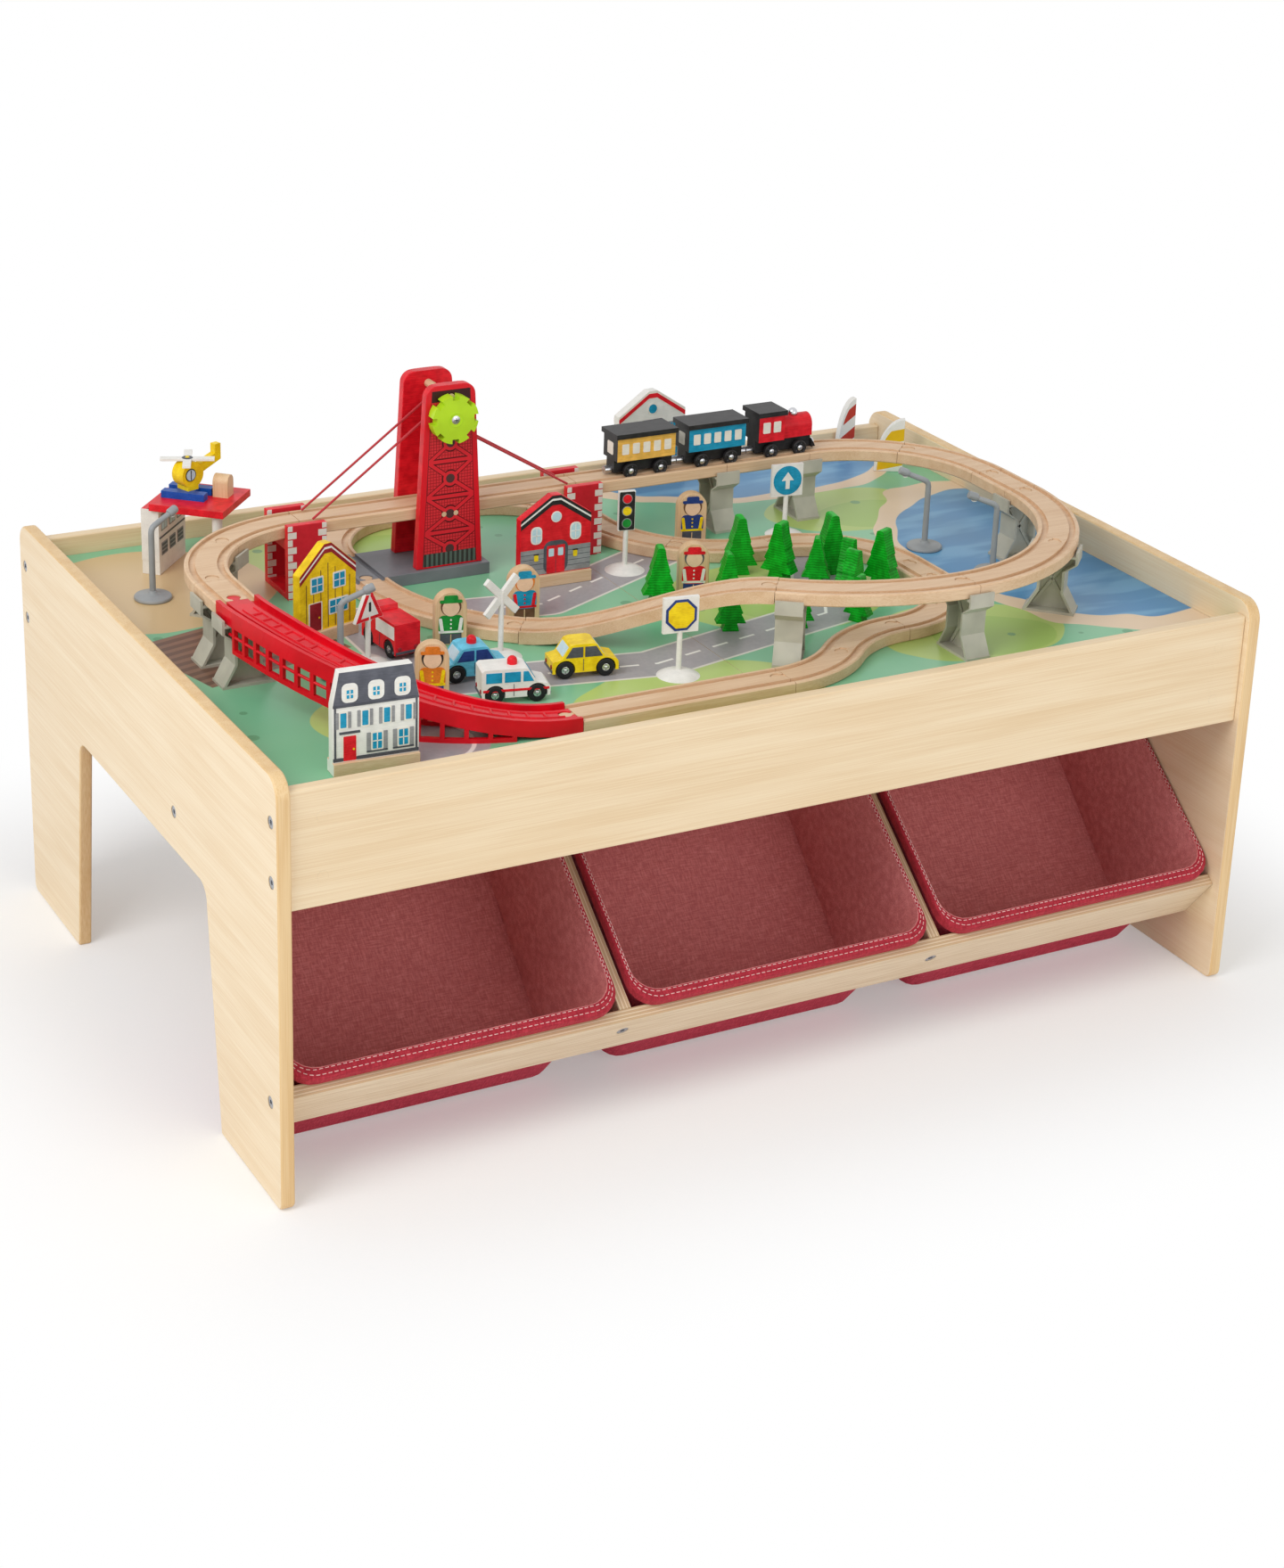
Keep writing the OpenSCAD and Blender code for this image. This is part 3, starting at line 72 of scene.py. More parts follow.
back = Vector((math.sin(azimuth) * math.cos(elevation), -math.cos(azimuth) * math.cos(elevation),
               math.sin(elevation)))
right = (-back).cross(Vector((0, 0, 1))).normalized()
up = right.cross(-back)
across = math.cos(roll) * right + math.sin(roll) * up
upright = math.cos(roll) * up - math.sin(roll) * right

camera_data = bpy.data.cameras.new("photo_camera")
camera_data.sensor_fit = "HORIZONTAL"
camera_data.sensor_width = 36
camera_data.lens = focal * 36 / image_w
camera_data.shift_x = (image_w / 2 - middle_x) / image_w
camera_data.shift_y = (middle_y - image_h / 2) / image_w
camera_data.clip_end = 50
camera = bpy.data.objects.new("photo_camera", camera_data)
camera.matrix_world = Matrix.Translation(eye) @ Matrix((across, upright, back)).transposed().to_4x4()
bpy.context.scene.collection.objects.link(camera)
bpy.context.scene.camera = camera
print("lens", round(camera_data.lens, 2), "mm")

# %% [markdown]
# ## Maths on sockets
# A finish is a little sum: grain here, a seam there, a stain between them. Written as node links such sums
# are hard to read, so a socket is wrapped in a small class, and Python's own operators add the Math nodes. A
# partial method fixes the first argument of a method, so each operator takes one line.
# A comparison gives 1 or 0, & takes the smaller and | the larger of two values.

# %% A socket that can be added, multiplied and compared
class Wire:
    def __init__(self, nodes, socket):
        self.nodes, self.socket = nodes, socket

    def maths(self, operation, *others):
        return self.nodes.node("ShaderNodeMath", {"operation": operation}, dict(enumerate((self, *others))))

    def swapped(self, operation, other):
        return self.nodes.node("ShaderNodeMath", {"operation": operation}, {0: other, 1: self})

    __add__ = __radd__ = partialmethod(maths, "ADD")
    __mul__ = __rmul__ = partialmethod(maths, "MULTIPLY")
    __sub__, __rsub__ = partialmethod(maths, "SUBTRACT"), partialmethod(swapped, "SUBTRACT")
    __truediv__, __rtruediv__ = partialmethod(maths, "DIVIDE"), partialmethod(swapped, "DIVIDE")
    __pow__, __mod__ = partialmethod(maths, "POWER"), partialmethod(maths, "FLOORED_MODULO")
    __abs__ = partialmethod(maths, "ABSOLUTE")
    __lt__, __gt__ = partialmethod(maths, "LESS_THAN"), partialmethod(maths, "GREATER_THAN")
    __and__ = __rand__ = partialmethod(maths, "MINIMUM")
    __or__ = __ror__ = partialmethod(maths, "MAXIMUM")

# %% Nodes of any kind by one method, and a finish, which is a material made of them
def paint(red, green, blue):
    """A colour as it is seen on a screen, 0 to 255, in the linear numbers that shaders use."""
    return tuple(v / 12.92 if v <= 0.04045 else ((v + 0.055) / 1.055) ** 2.4
                 for v in (red / 255, green / 255, blue / 255))


finishes = {}


class Nodes:
    def __init__(self, tree):
        self.tree = tree

    def set(self, node, sockets):
        for key, value in sockets.items():
            socket = node.inputs[key]
            if isinstance(value, Wire):
                self.tree.links.new(value.socket, socket)
            elif isinstance(value, tuple) and len(socket.default_value) == 4:
                socket.default_value = (*value, 1)
            else:
                socket.default_value = value

    def node(self, kind, settings, sockets, out=0):
        made = self.tree.nodes.new(kind)
        for key, value in settings.items():
            setattr(made, key, value)
        self.set(made, sockets)
        return Wire(self, made.outputs[out])

    def seen(self):
        """1 for what the camera sees straight, in a shine or through glass, and 0 for light on its way round."""
        straight, shine, through = (self.node("ShaderNodeLightPath", {}, {}, out=f"Is {ray} Ray")
                                    for ray in ("Camera", "Glossy", "Transmission"))
        return straight | shine | through


class Finish(Nodes):
    def __init__(self, name, colour, roughness, sockets=()):
        self.material = bpy.data.materials.new(name)
        self.material.use_nodes = True
        super().__init__(self.material.node_tree)
        self.shader = self.tree.nodes["Principled BSDF"]
        self.made = {}
        self.set(self.shader, {"Base Color": colour, "Roughness": roughness, **dict(sockets)})
        finishes[name] = self

    def object_point(self):
        if "point" not in self.made:
            self.made["point"] = self.node("ShaderNodeTexCoord", {}, {}, out=3)
        return self.made["point"]

    def along(self, axis):
        """Object coordinate 0, 1 or 2, in millimetres."""
        if axis not in self.made:
            self.made[axis] = self.node("ShaderNodeSeparateXYZ", {}, {0: self.object_point()}, out=axis) * 1000
        return self.made[axis]

    def noise(self, size, stretch=(1, 1, 1), detail=2):
        """Noise with blotches about size millimetres wide, drawn out along an axis by a stretch above 1."""
        point = self.node("ShaderNodeMapping", {}, {0: self.object_point(), 3: tuple(1 / v for v in stretch)})
        return self.node("ShaderNodeTexNoise", {}, {"Vector": point, "Scale": 1000 / size, "Detail": detail})

    def mix(self, share, one, other):
        return self.node("ShaderNodeMix", {"data_type": "RGBA"}, {0: share, 6: one, 7: other}, out=2)

    def over(self, colour, *layers):
        """A colour with layers laid over it in turn, each given by its share, from 0 to 1, and its own colour."""
        for share, layer in layers:
            colour = self.mix(share, colour, layer)
        return colour

    def ease(self, value, low, high):
        """0 below low, 1 above high and smooth between them."""
        return self.node("ShaderNodeMapRange", {"interpolation_type": "SMOOTHSTEP"}, {0: value, 1: low, 2: high})

    def wear(self, colour=None, roughness=None, height=None, depth=0.1):
        """Links the finished sums to the shader. The depth of the relief is in millimetres."""
        links = {"Base Color": colour, "Roughness": roughness}
        if height is not None:
            links["Normal"] = self.node("ShaderNodeBump", {},
                                        {"Strength": 0.6, "Distance": depth * MM, "Height": height})
        self.set(self.shader, {key: value for key, value in links.items() if value is not None})

# %% [markdown]
# ## Wood, plywood and laminate
# The table is board with a pale maple laminate, printed with long fine grain, and its cut edges carry a
# warmer edge band. The track, the posts and the figures are solid beech, pinker, with short dark flecks.
# Both are noise drawn out along the grain; only the colours and the lengths differ, so one helper makes them.

# %% Wood grain
def wood(name, pale, dark, grain, across=0.9, streak=120, flecks=0.0, roughness=0.45):
    """Grain runs along an axis: 0, 1 or 2."""
    stuff = Finish(name, pale, roughness)
    long_way = tuple(streak if axis == grain else 1 for axis in range(3))
    short_way = tuple(14 if axis == grain else 1 for axis in range(3))
    fine = stuff.noise(across, long_way, 3)
    broad = stuff.noise(across * 14, short_way)
    fleck = stuff.ease(stuff.noise(across * 0.8, short_way, 1), 0.62, 0.74)
    tone = stuff.ease(fine * 0.55 + broad * 0.45, 0.32, 0.68) * (1 - flecks) + fleck * flecks
    stuff.wear(stuff.mix(tone, pale, dark), fine * 0.16 + (roughness - 0.08), fine + fleck, 0.04)
    return stuff


maple_x = wood("maple_along_x", paint(240, 219, 184), paint(229, 201, 160), 0, roughness=0.42)
maple_y = wood("maple_along_y", paint(243, 223, 190), paint(233, 207, 168), 1, roughness=0.42)
edge_band = wood("maple_edge_band", paint(234, 203, 154), paint(219, 180, 124), 2, roughness=0.4)
beech_x = wood("beech_along_x", paint(228, 197, 163), paint(205, 165, 124), 0, 0.7, 50, 0.25, 0.5)
beech_y = wood("beech_along_y", paint(228, 197, 163), paint(205, 165, 124), 1, 0.7, 50, 0.25, 0.5)
beech_z = wood("beech_upright", paint(228, 195, 155), paint(203, 162, 114), 2, 0.7, 50, 0.25, 0.5)
pine = wood("pine_cleats", paint(226, 196, 146), paint(205, 167, 113), 0, 1.6, 60, 0.1, 0.6)
print(len(finishes), "wood finishes")

# %% Birch plywood, with its layers on the tilted rails
tilt_degrees = 38
rail_tilt = math.radians(tilt_degrees)


def plywood(name, layer, normal):
    """Layers of the given thickness stacked along a direction, seen only where the plies are cut."""
    stuff = Finish(name, paint(226, 206, 176), 0.55)
    depth = sum(stuff.along(axis) * share for axis, share in enumerate(normal) if share)
    ply_number = (depth / layer) % 2
    glue = 1 - stuff.ease(abs((depth / layer) % 1 - 0.5), 0.32, 0.46)
    face = stuff.noise(1.1, (60, 1, 1), 3)
    cut_grain = stuff.noise(0.8, (3, 1, 1))
    veneer = stuff.mix(stuff.ease(face, 0.35, 0.7), paint(232, 213, 184), paint(212, 186, 150))
    layers = stuff.mix((ply_number > 1) * 0.75, paint(231, 210, 176), paint(196, 158, 114))
    cut = stuff.mix(cut_grain * 0.4, stuff.mix((1 - glue) * 0.55, layers, paint(150, 112, 78)), paint(214, 186, 148))
    direction = stuff.node("ShaderNodeNewGeometry", {}, {}, out=1)
    facing = stuff.node("ShaderNodeVectorMath", {"operation": "DOT_PRODUCT"}, {0: direction, 1: normal}, out=1)
    flat = stuff.ease(abs(facing), 0.75, 0.9)
    stuff.wear(stuff.mix(flat, cut, veneer), 0.6 - face * 0.12, cut_grain, 0.05)
    return stuff


rail_ply = plywood("birch_ply_rails", 1.7, (0, math.cos(rail_tilt), math.sin(rail_tilt)))
divider_ply = plywood("birch_ply_dividers", 1.7, (1, 0, 0))
print("plywood layers lie", tilt_degrees, "degrees to the floor on the rails")

# %% [markdown]
# ## Paint, plastic and metal
# The toys are painted wood: the paint lies in a thin even coat with a soft shine, a little cloudy, and the
# wood's grain just lifts it. Moulded pieces are smoother, with the fine spark texture of a steel mould.
# The couplers, the hubs and the screws are bright plated steel.

# %% Painted wood and moulded plastic
SATIN = {"Coat Weight": 0.06, "Coat Roughness": 0.2, "Specular IOR Level": 0.22}


def painted(name, colour, roughness=0.38, cloud=0.12):
    stuff = Finish(name, colour, roughness, SATIN)
    patch = stuff.noise(9, detail=3)
    grain = stuff.noise(0.8, (14, 1, 1))
    deeper = tuple(v * (1 - 2 * cloud) for v in colour)
    lighter = tuple(min(1, v * (1 + cloud) + 0.01) for v in colour)
    stuff.wear(stuff.mix(stuff.ease(patch * 0.6 + grain * 0.4, 0.3, 0.7), deeper, lighter),
               grain * 0.12 + (roughness - 0.06), grain + patch, 0.03)
    return stuff


def moulded(name, colour, roughness=0.32):
    stuff = Finish(name, colour, roughness, {"Coat Weight": 0.04, "Coat Roughness": 0.3, "Specular IOR Level": 0.25})
    spark = stuff.noise(0.35, detail=1)
    flow = stuff.noise(24)
    deeper = tuple(v * 0.86 for v in colour)
    stuff.wear(stuff.mix(stuff.ease(flow, 0.35, 0.7), deeper, colour), flow * 0.1 + (roughness - 0.04), spark, 0.02)
    return stuff


def plated(name, colour, roughness=0.25):
    stuff = Finish(name, colour, roughness, {"Metallic": 1.0})
    scratch = stuff.noise(0.25, (20, 1, 1))
    stuff.wear(stuff.mix(scratch * 0.3, colour, tuple(v * 0.75 for v in colour)), scratch * 0.2 + (roughness - 0.08),
               scratch, 0.01)
    return stuff

# %% The paints, mouldings and metals
red = painted("red_paint", paint(228, 18, 36))
blue = painted("teal_blue_paint", paint(16, 150, 190))
sky = painted("pale_blue_paint", paint(100, 196, 226))
navy = painted("navy_paint", paint(36, 62, 130))
royal = painted("royal_blue_paint", paint(14, 82, 176))
yellow = painted("yellow_paint", paint(255, 212, 12))
amber = painted("amber_paint", paint(240, 186, 84))
mustard = painted("mustard_paint", paint(250, 206, 14))
white = painted("white_paint", paint(236, 234, 228), cloud=0.04)
black = painted("black_paint", paint(34, 32, 33), 0.42)
grey = painted("grey_paint", paint(150, 150, 152))
dark_grey = painted("dark_grey_paint", paint(82, 84, 92))
maroon = painted("dark_red_paint", paint(150, 26, 36))
green = painted("leaf_green_paint", paint(24, 142, 52))
slate = painted("slate_paint", paint(92, 94, 104))
glass = painted("window_paint", paint(196, 222, 232), 0.2, 0.05)
cream = painted("cream_paint", paint(238, 232, 220), 0.3, 0.04)
orange = painted("orange_paint", paint(226, 126, 40))
brown = painted("brown_paint", paint(110, 74, 52))
skin = painted("pale_skin_paint", paint(236, 200, 168), cloud=0.04)
red_mould = moulded("red_moulding", paint(226, 14, 34))
pier_mould = moulded("pier_moulding", paint(192, 189, 174), 0.42)
grey_mould = moulded("grey_moulding", paint(126, 128, 134), 0.45)
lime_mould = moulded("lime_moulding", paint(192, 234, 40), 0.28)
lamp_mould = moulded("lamp_moulding", paint(158, 162, 164), 0.35)
tyre = moulded("tyre_rubber", paint(28, 28, 30), 0.6)
steel = plated("bright_steel", paint(208, 208, 212))
zinc = plated("zinc_plate", paint(178, 180, 184), 0.35)
print(len(finishes), "finishes so far")

# %% [markdown]
# ## A workbench for meshes
# Most toys are sawn from board and have their edges eased with sandpaper, so the same few operations come
# again: a block, a sawn outline, a turned profile, a bent rod. The workbench keeps one bmesh, puts each shape
# at its place with a matrix, marks it with its finish, and bevels its edges. A piece from the CAD model is
# copied, its loose triangles are merged, flat faces are joined again, and its edges are eased as well.

# %% The workbench
VERT, EDGE, FACE = bmesh.types.BMVert, bmesh.types.BMEdge, bmesh.types.BMFace


def only(kind, parts):
    """The vertices, the edges or the faces among the parts that an operator made."""
    return [part for part in parts if isinstance(part, kind)]


def once(parts):
    """Each part once, in the order in which it comes up."""
    return list(dict.fromkeys(parts))


def faces_round(verts):
    return once(face for vert in verts for face in vert.link_faces)


def place(x=0, y=0, z=0, turn=0, tip=0, lean=0):
    """Millimetres and degrees: turn about the upright, then tip about X and lean about Y."""
    return (Matrix.Translation(Vector((x, y, z)) * MM) @ Matrix.Rotation(math.radians(turn), 4, "Z")
            @ Matrix.Rotation(math.radians(tip), 4, "X") @ Matrix.Rotation(math.radians(lean), 4, "Y"))


class Bench:
    def __init__(self, name):
        self.name, self.mesh, self.finishes = name, bmesh.new(), []

    def number(self, finish):
        if finish not in self.finishes:
            self.finishes.append(finish)
        return self.finishes.index(finish)

    def keep(self, faces, finish):
        number = self.number(finish)
        for face in faces:
            face.material_index = number

    def ease(self, edges, width, segments=2):
        if width:
            bmesh.ops.bevel(self.mesh, geom=edges, offset=width * MM, offset_type="OFFSET", segments=segments,
                            profile=0.5, affect="EDGES", clamp_overlap=True, material=-1)

    def stock(self, verts, finish, where, soften, segments=2):
        bmesh.ops.transform(self.mesh, matrix=where, verts=verts)
        self.keep(faces_round(verts), finish)
        edges = once(edge for vert in verts for edge in vert.link_edges
                     if len(edge.link_faces) == 2 and edge.calc_face_angle(0) > CORNER_ANGLE)
        self.ease(edges, soften, segments)

    def block(self, size, finish, where, soften=0.5, segments=2):
        """A sawn block, its base centred on the origin of the place."""
        made = bmesh.ops.create_cube(self.mesh, size=MM, matrix=Matrix.Diagonal((*size, 1)))["verts"]
        bmesh.ops.translate(self.mesh, vec=(0, 0, size[2] / 2 * MM), verts=made)
        self.stock(made, finish, where, soften, segments)

    def pushed(self, face, thick, finish, where, soften=0, segments=2):
        """A flat face drawn along Y into a board."""
        verts = list(face.verts)
        far = only(VERT, bmesh.ops.extrude_face_region(self.mesh, geom=[face])["geom"])
        bmesh.ops.translate(self.mesh, vec=(0, thick * MM, 0), verts=far)
        bmesh.ops.recalc_face_normals(self.mesh, faces=faces_round(verts + far))
        self.stock(verts + far, finish, where, soften, segments)

    def sawn(self, outline, thick, finish, where, soften=0.5, segments=2):
        """An outline in X and Z sawn from board, centred on the place in Y."""
        verts = [self.mesh.verts.new(Vector((x, -thick / 2, z)) * MM) for x, z in outline]
        self.pushed(self.mesh.faces.new(verts), thick, finish, where, soften, segments)

    def raised(self, face, thick, finish, where):
        """A flat outline drawn in X and Y, stood up to face -Y and given its thickness."""
        bmesh.ops.rotate(self.mesh, cent=(0, 0, 0), matrix=Matrix.Rotation(math.pi / 2, 3, "X"),
                         verts=list(face.verts))
        self.pushed(face, -thick, finish, where)

    def panel(self, width, height, finish, where, corner=0.8, thick=0.5):
        """A thin plate with rounded corners, its middle at the place, facing -Y."""
        before = set(self.mesh.faces)
        made = bmesh.ops.create_grid(self.mesh, x_segments=1, y_segments=1, size=0.5 * MM)["verts"]
        bmesh.ops.scale(self.mesh, vec=(width, height, 1), verts=made)
        bmesh.ops.bevel(self.mesh, geom=made, offset=corner * MM, offset_type="OFFSET", segments=4, profile=0.5,
                        affect="VERTICES", material=-1)
        self.raised(next(f for f in self.mesh.faces if f not in before), thick, finish, where)

    def disc(self, radius, finish, where, sides=24, thick=0.5):
        """A thin round or many-sided plate, its middle at the place, facing -Y."""
        turn = Matrix.Rotation(math.pi / sides, 4, "Z")
        ring = bmesh.ops.create_circle(self.mesh, cap_ends=True, segments=sides, radius=radius * MM,
                                       matrix=turn)["verts"]
        self.raised(ring[0].link_faces[0], thick, finish, where)

    def turned(self, profile, finish, where, steps=28):
        """A profile of radius and height, turned about the upright."""
        verts = [self.mesh.verts.new(Vector((r, 0, z)) * MM) for r, z in profile]
        edges = [self.mesh.edges.new(pair) for pair in zip(verts, verts[1:])]
        before = set(self.mesh.verts) - set(verts)
        bmesh.ops.spin(self.mesh, geom=verts + edges, cent=(0, 0, 0), axis=(0, 0, 1), angle=math.tau, steps=steps,
                       use_merge=True)
        made = [v for v in self.mesh.verts if v not in before]
        bmesh.ops.remove_doubles(self.mesh, verts=made, dist=1e-6)
        made = [v for v in self.mesh.verts if v not in before]
        bmesh.ops.recalc_face_normals(self.mesh, faces=faces_round(made))
        self.stock(made, finish, where, 0)

    def rod(self, points, width, finish, where=Matrix(), sides=12):
        """A round rod bent along points in millimetres; the width is one number or one for each point."""
        widths = [width] * len(points) if isinstance(width, (int, float)) else width
        points = [Vector(p) * MM for p in points]
        ring = bmesh.ops.create_circle(self.mesh, cap_ends=True, segments=sides, radius=1)["verts"]
        face = ring[0].link_faces[0]
        made, previous = list(ring), None
        for number, point in enumerate(points):
            ahead = points[min(number + 1, len(points) - 1)] - points[max(number - 1, 0)]
            if previous is None:
                turn = Vector((0, 0, 1)).rotation_difference(ahead.normalized())
            else:
                turn = previous[1].rotation_difference(ahead.normalized()) @ previous[0]
            pose = (Matrix.Translation(point) @ turn.to_matrix().to_4x4()
                    @ Matrix.Diagonal((*(widths[number] / 2 * MM,) * 3, 1)))
            if previous is not None:
                pushed = bmesh.ops.extrude_face_region(self.mesh, geom=[face])["geom"]
                face = only(FACE, pushed)[0]
                bmesh.ops.transform(self.mesh, matrix=pose @ previous[2].inverted(), verts=list(face.verts))
                made += face.verts
            else:
                bmesh.ops.transform(self.mesh, matrix=pose, verts=ring)
            previous = (turn, ahead.normalized(), pose)
        bmesh.ops.recalc_face_normals(self.mesh, faces=faces_round(made))
        self.stock(made, finish, where, 0)

    def copy(self, node, finish, soften=0, segments=2, spare=lambda middle: False):
        """A CAD node's mesh, merged, with its flat faces joined and its edges eased."""
        before = set(self.mesh.faces)
        self.mesh.from_mesh(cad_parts[node].data)
        made = [face for face in self.mesh.faces if face not in before]
        verts = once(vert for face in made for vert in face.verts)
        bmesh.ops.remove_doubles(self.mesh, verts=verts, dist=2e-6)
        made = [face for face in self.mesh.faces if face not in before]
        edges = once(edge for face in made for edge in face.edges)
        verts = once(vert for face in made for vert in face.verts)
        bmesh.ops.dissolve_limit(self.mesh, angle_limit=FLAT_ANGLE, use_dissolve_boundaries=False,
                                 verts=verts, edges=edges, delimit=set())
        made = [face for face in self.mesh.faces if face not in before]
        self.keep(made, finish)
        sharp = once(edge for face in made for edge in face.edges if len(edge.link_faces) == 2
                     and edge.calc_face_angle(0) > CORNER_ANGLE
                     and not spare((edge.verts[0].co + edge.verts[1].co) / 2))
        self.ease(sharp, soften, segments)
        return self

    def islands(self):
        """The separate solids, each as a list of faces."""
        met, found = set(), []
        for first in self.mesh.faces:
            if first not in met:
                met.add(first)
                island = [first]
                for face in island:
                    near = once(f for edge in face.edges for f in edge.link_faces if f not in met)
                    met.update(near)
                    island += near
                found.append(island)
        return found

    def plates(self, wall, *rows):
        """Thin plates on a wall: place across, height, finish, width, height of the plate, corner and thickness."""
        for x, z, finish, width, height, corner, thick in rows:
            self.panel(width, height, finish, wall @ place(x, 0, z), corner, thick)

    def done(self, body, *replaced, slot=None):
        """The finished piece, on its body, standing for the CAD nodes that it replaces."""
        data = bpy.data.meshes.new(self.name)
        self.mesh.to_mesh(data)
        self.mesh.free()
        data.shade_smooth()
        data.set_sharp_from_angle(angle=SHARP_ANGLE)
        for finish in self.finishes:
            data.materials.append(finish.material)
        piece = bpy.data.objects.new(self.name, data)
        bpy.context.scene.collection.objects.link(piece)
        piece.modifiers.new("even_shading", "WEIGHTED_NORMAL").keep_sharp = True
        if body:
            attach(piece, body)
        if replaced:
            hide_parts(*replaced)
        print(f"{self.name}: {len(data.polygons)} faces, {len(self.finishes)} finishes")
        return piece


def middle_of(face):
    """The middle of a face in millimetres."""
    return face.calc_center_median() / MM


def nearest(island, spots):
    """The key of the spot, in millimetres, that lies nearest to a solid on the plan."""
    corners = [vert.co / MM for face in island for vert in face.verts]
    middle = sum(corners, Vector()) / len(corners)
    return min(spots, key=lambda key: math.dist(middle[:2], spots[key][:2]))


def dress(node, finish):
    """A CAD node that keeps its shape gets a better finish in every slot."""
    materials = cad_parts[node].data.materials
    if not materials:
        materials.append(finish.material)
    for number in range(len(materials)):
        materials[number] = finish.material


print("workbench ready")

# %% [markdown]
# ## Panels, aprons and rails
# The end panels and the aprons are cut from board, and their laminate wraps over a small rounded edge that
# catches the light. The CAD solids have sharp edges, so copies of them are eased with a bevel and stand for
# the nodes. Edges round bolt holes stay sharp: the boxes of the bolts and nuts show where they are.

# %% Where the holes are
probe = Bench("hole_probe").copy("frame_bolts", zinc).copy("barrel_nuts", zinc)
hole_boxes = []
for island in probe.islands():
    corners = [vert.co for face in island for vert in face.verts]
    low = Vector(min(c[axis] for c in corners) - 3 * MM for axis in range(3))
    high = Vector(max(c[axis] for c in corners) + 3 * MM for axis in range(3))
    hole_boxes.append((low, high))
probe.mesh.free()


def at_hole(middle):
    return any(all(low[a] <= middle[a] <= high[a] for a in range(3)) for low, high in hole_boxes)


print(len(hole_boxes), "bolts, screws and nuts")

# %% End panels with a warmer edge band
for side in ("left", "right"):
    panel = Bench(f"{side}_panel_board").copy(f"{side}_end_panel", edge_band, 2.2, 3, at_hole)
    panel.keep([face for face in panel.mesh.faces if abs(face.normal.x) > 0.75], maple_y)
    panel.done("table", f"{side}_end_panel", slot="maple")

# %% Aprons and the bin frame
for node, finish, soften, slot in (("front_apron", maple_x, 1.6, "maple"), ("back_apron", maple_x, 1.6, "maple"),
                                   ("bin_front_rail", rail_ply, 0.9, "ply"), ("bin_back_rail", rail_ply, 0.9, "ply"),
                                   ("bin_dividers", divider_ply, 0.9, "ply")):
    Bench(f"{node}_board").copy(node, finish, soften, spare=at_hole).done("table", node, slot=slot)

# %% Fasteners and cleats keep their shapes; the nuts' outer ends are capped with the aprons' laminate
dress("frame_bolts", zinc)
nuts = Bench("apron_nuts").copy("barrel_nuts", zinc)
nuts.keep([face for face in nuts.mesh.faces
           if abs(face.normal.y) > 0.9 and face.normal.y * middle_of(face).y > 0], maple_x)
nuts.done("table", "barrel_nuts", slot="zinc")
dress("board_cleats", pine)

# %% [markdown]
# ## The printed board
# The play board is plywood with a printed and varnished landscape: meadows, a lake with a beach, a ploughed
# field, a yard and roads with dashed lines. A print has hard edges, so each form is a distance, in
# millimetres, compared with a width. The layout is this lesson's own, with roads under the toy cars.

# %% Distances on the board
land = Finish("board_landscape", paint(128, 180, 148), 0.36,
              {"Coat Weight": 0.1, "Coat Roughness": 0.3, "Specular IOR Level": 0.35})
board_x, board_y = land.along(0), land.along(1)
waver = (land.noise(90, detail=1) - 0.5) * 46
ripple = land.noise(26, (4, 1, 1))


def from_point(x, y, flat=1):
    """Distance to a point; flat above 1 makes long low rounds of it."""
    dx, dy = board_x - x, (board_y - y) * flat
    return (dx * dx + dy * dy) ** 0.5


def from_road(x0, y0, x1, y1):
    """Distance to a straight road, and how far along it a point lies."""
    dx, dy = x1 - x0, y1 - y0
    length = math.hypot(dx, dy)
    along = ((board_x - x0) * dx + (board_y - y0) * dy) / length
    along = (along | 0) & length
    off_x, off_y = board_x - x0 - along * (dx / length), board_y - y0 - along * (dy / length)
    return (off_x * off_x + off_y * off_y) ** 0.5, along


def inside(distance, width):
    return 1 - land.ease(distance, width - 0.6, width + 0.6)

# %% Meadows, lake, beach, field and yard
scene_colour = land.mix(land.ease(land.noise(150), 0.35, 0.65), paint(120, 190, 148), paint(144, 202, 162))
for x, y, size, flat in ((-60, -250, 120, 1.6), (130, -60, 110, 1.2), (-190, 215, 120, 1.5), (250, -215, 95, 1.3),
                         (330, 130, 90, 1.4), (-330, -180, 70, 1.2)):
    hill = inside(from_point(x, y, flat) + waver * 0.6, size)
    crown = inside(from_point(x + 14, y - 18, flat) + waver * 0.6, size * 0.66)
    scene_colour = land.over(scene_colour, (hill, paint(182, 206, 116)), (crown, paint(166, 198, 104)))

tuft = land.node("ShaderNodeTexVoronoi", {}, {"Vector": land.object_point(), "Scale": 24.0})
shore = (from_point(470, -60, 0.75) + waver - 150) & (from_point(300, 330, 1.5) + waver - 190)
water = land.mix(land.ease(ripple, 0.45, 0.62), paint(80, 142, 190), paint(108, 166, 206))
yard = from_point(-420, 190, 1.1) + waver * 0.5
field_x, field_y = (board_x + 390) * 0.97 + (board_y - 20) * 0.26, (board_y - 20) * 0.97 - (board_x + 390) * 0.26
field = (abs(field_x) - 78) | (abs(field_y) - 62)
furrow = land.ease(abs((field_y / 13) % 1 - 0.5), 0.18, 0.3)
scene_colour = land.over(
    scene_colour, ((1 - land.ease(tuft, 0.13, 0.15)) * 0.7, paint(92, 152, 110)),
    (inside(shore, 26), paint(233, 208, 178)), (inside(shore, 0), water), (inside(yard, 120), paint(214, 186, 140)),
    (inside(field, 0), land.mix(furrow, paint(138, 104, 86), paint(108, 80, 66))))

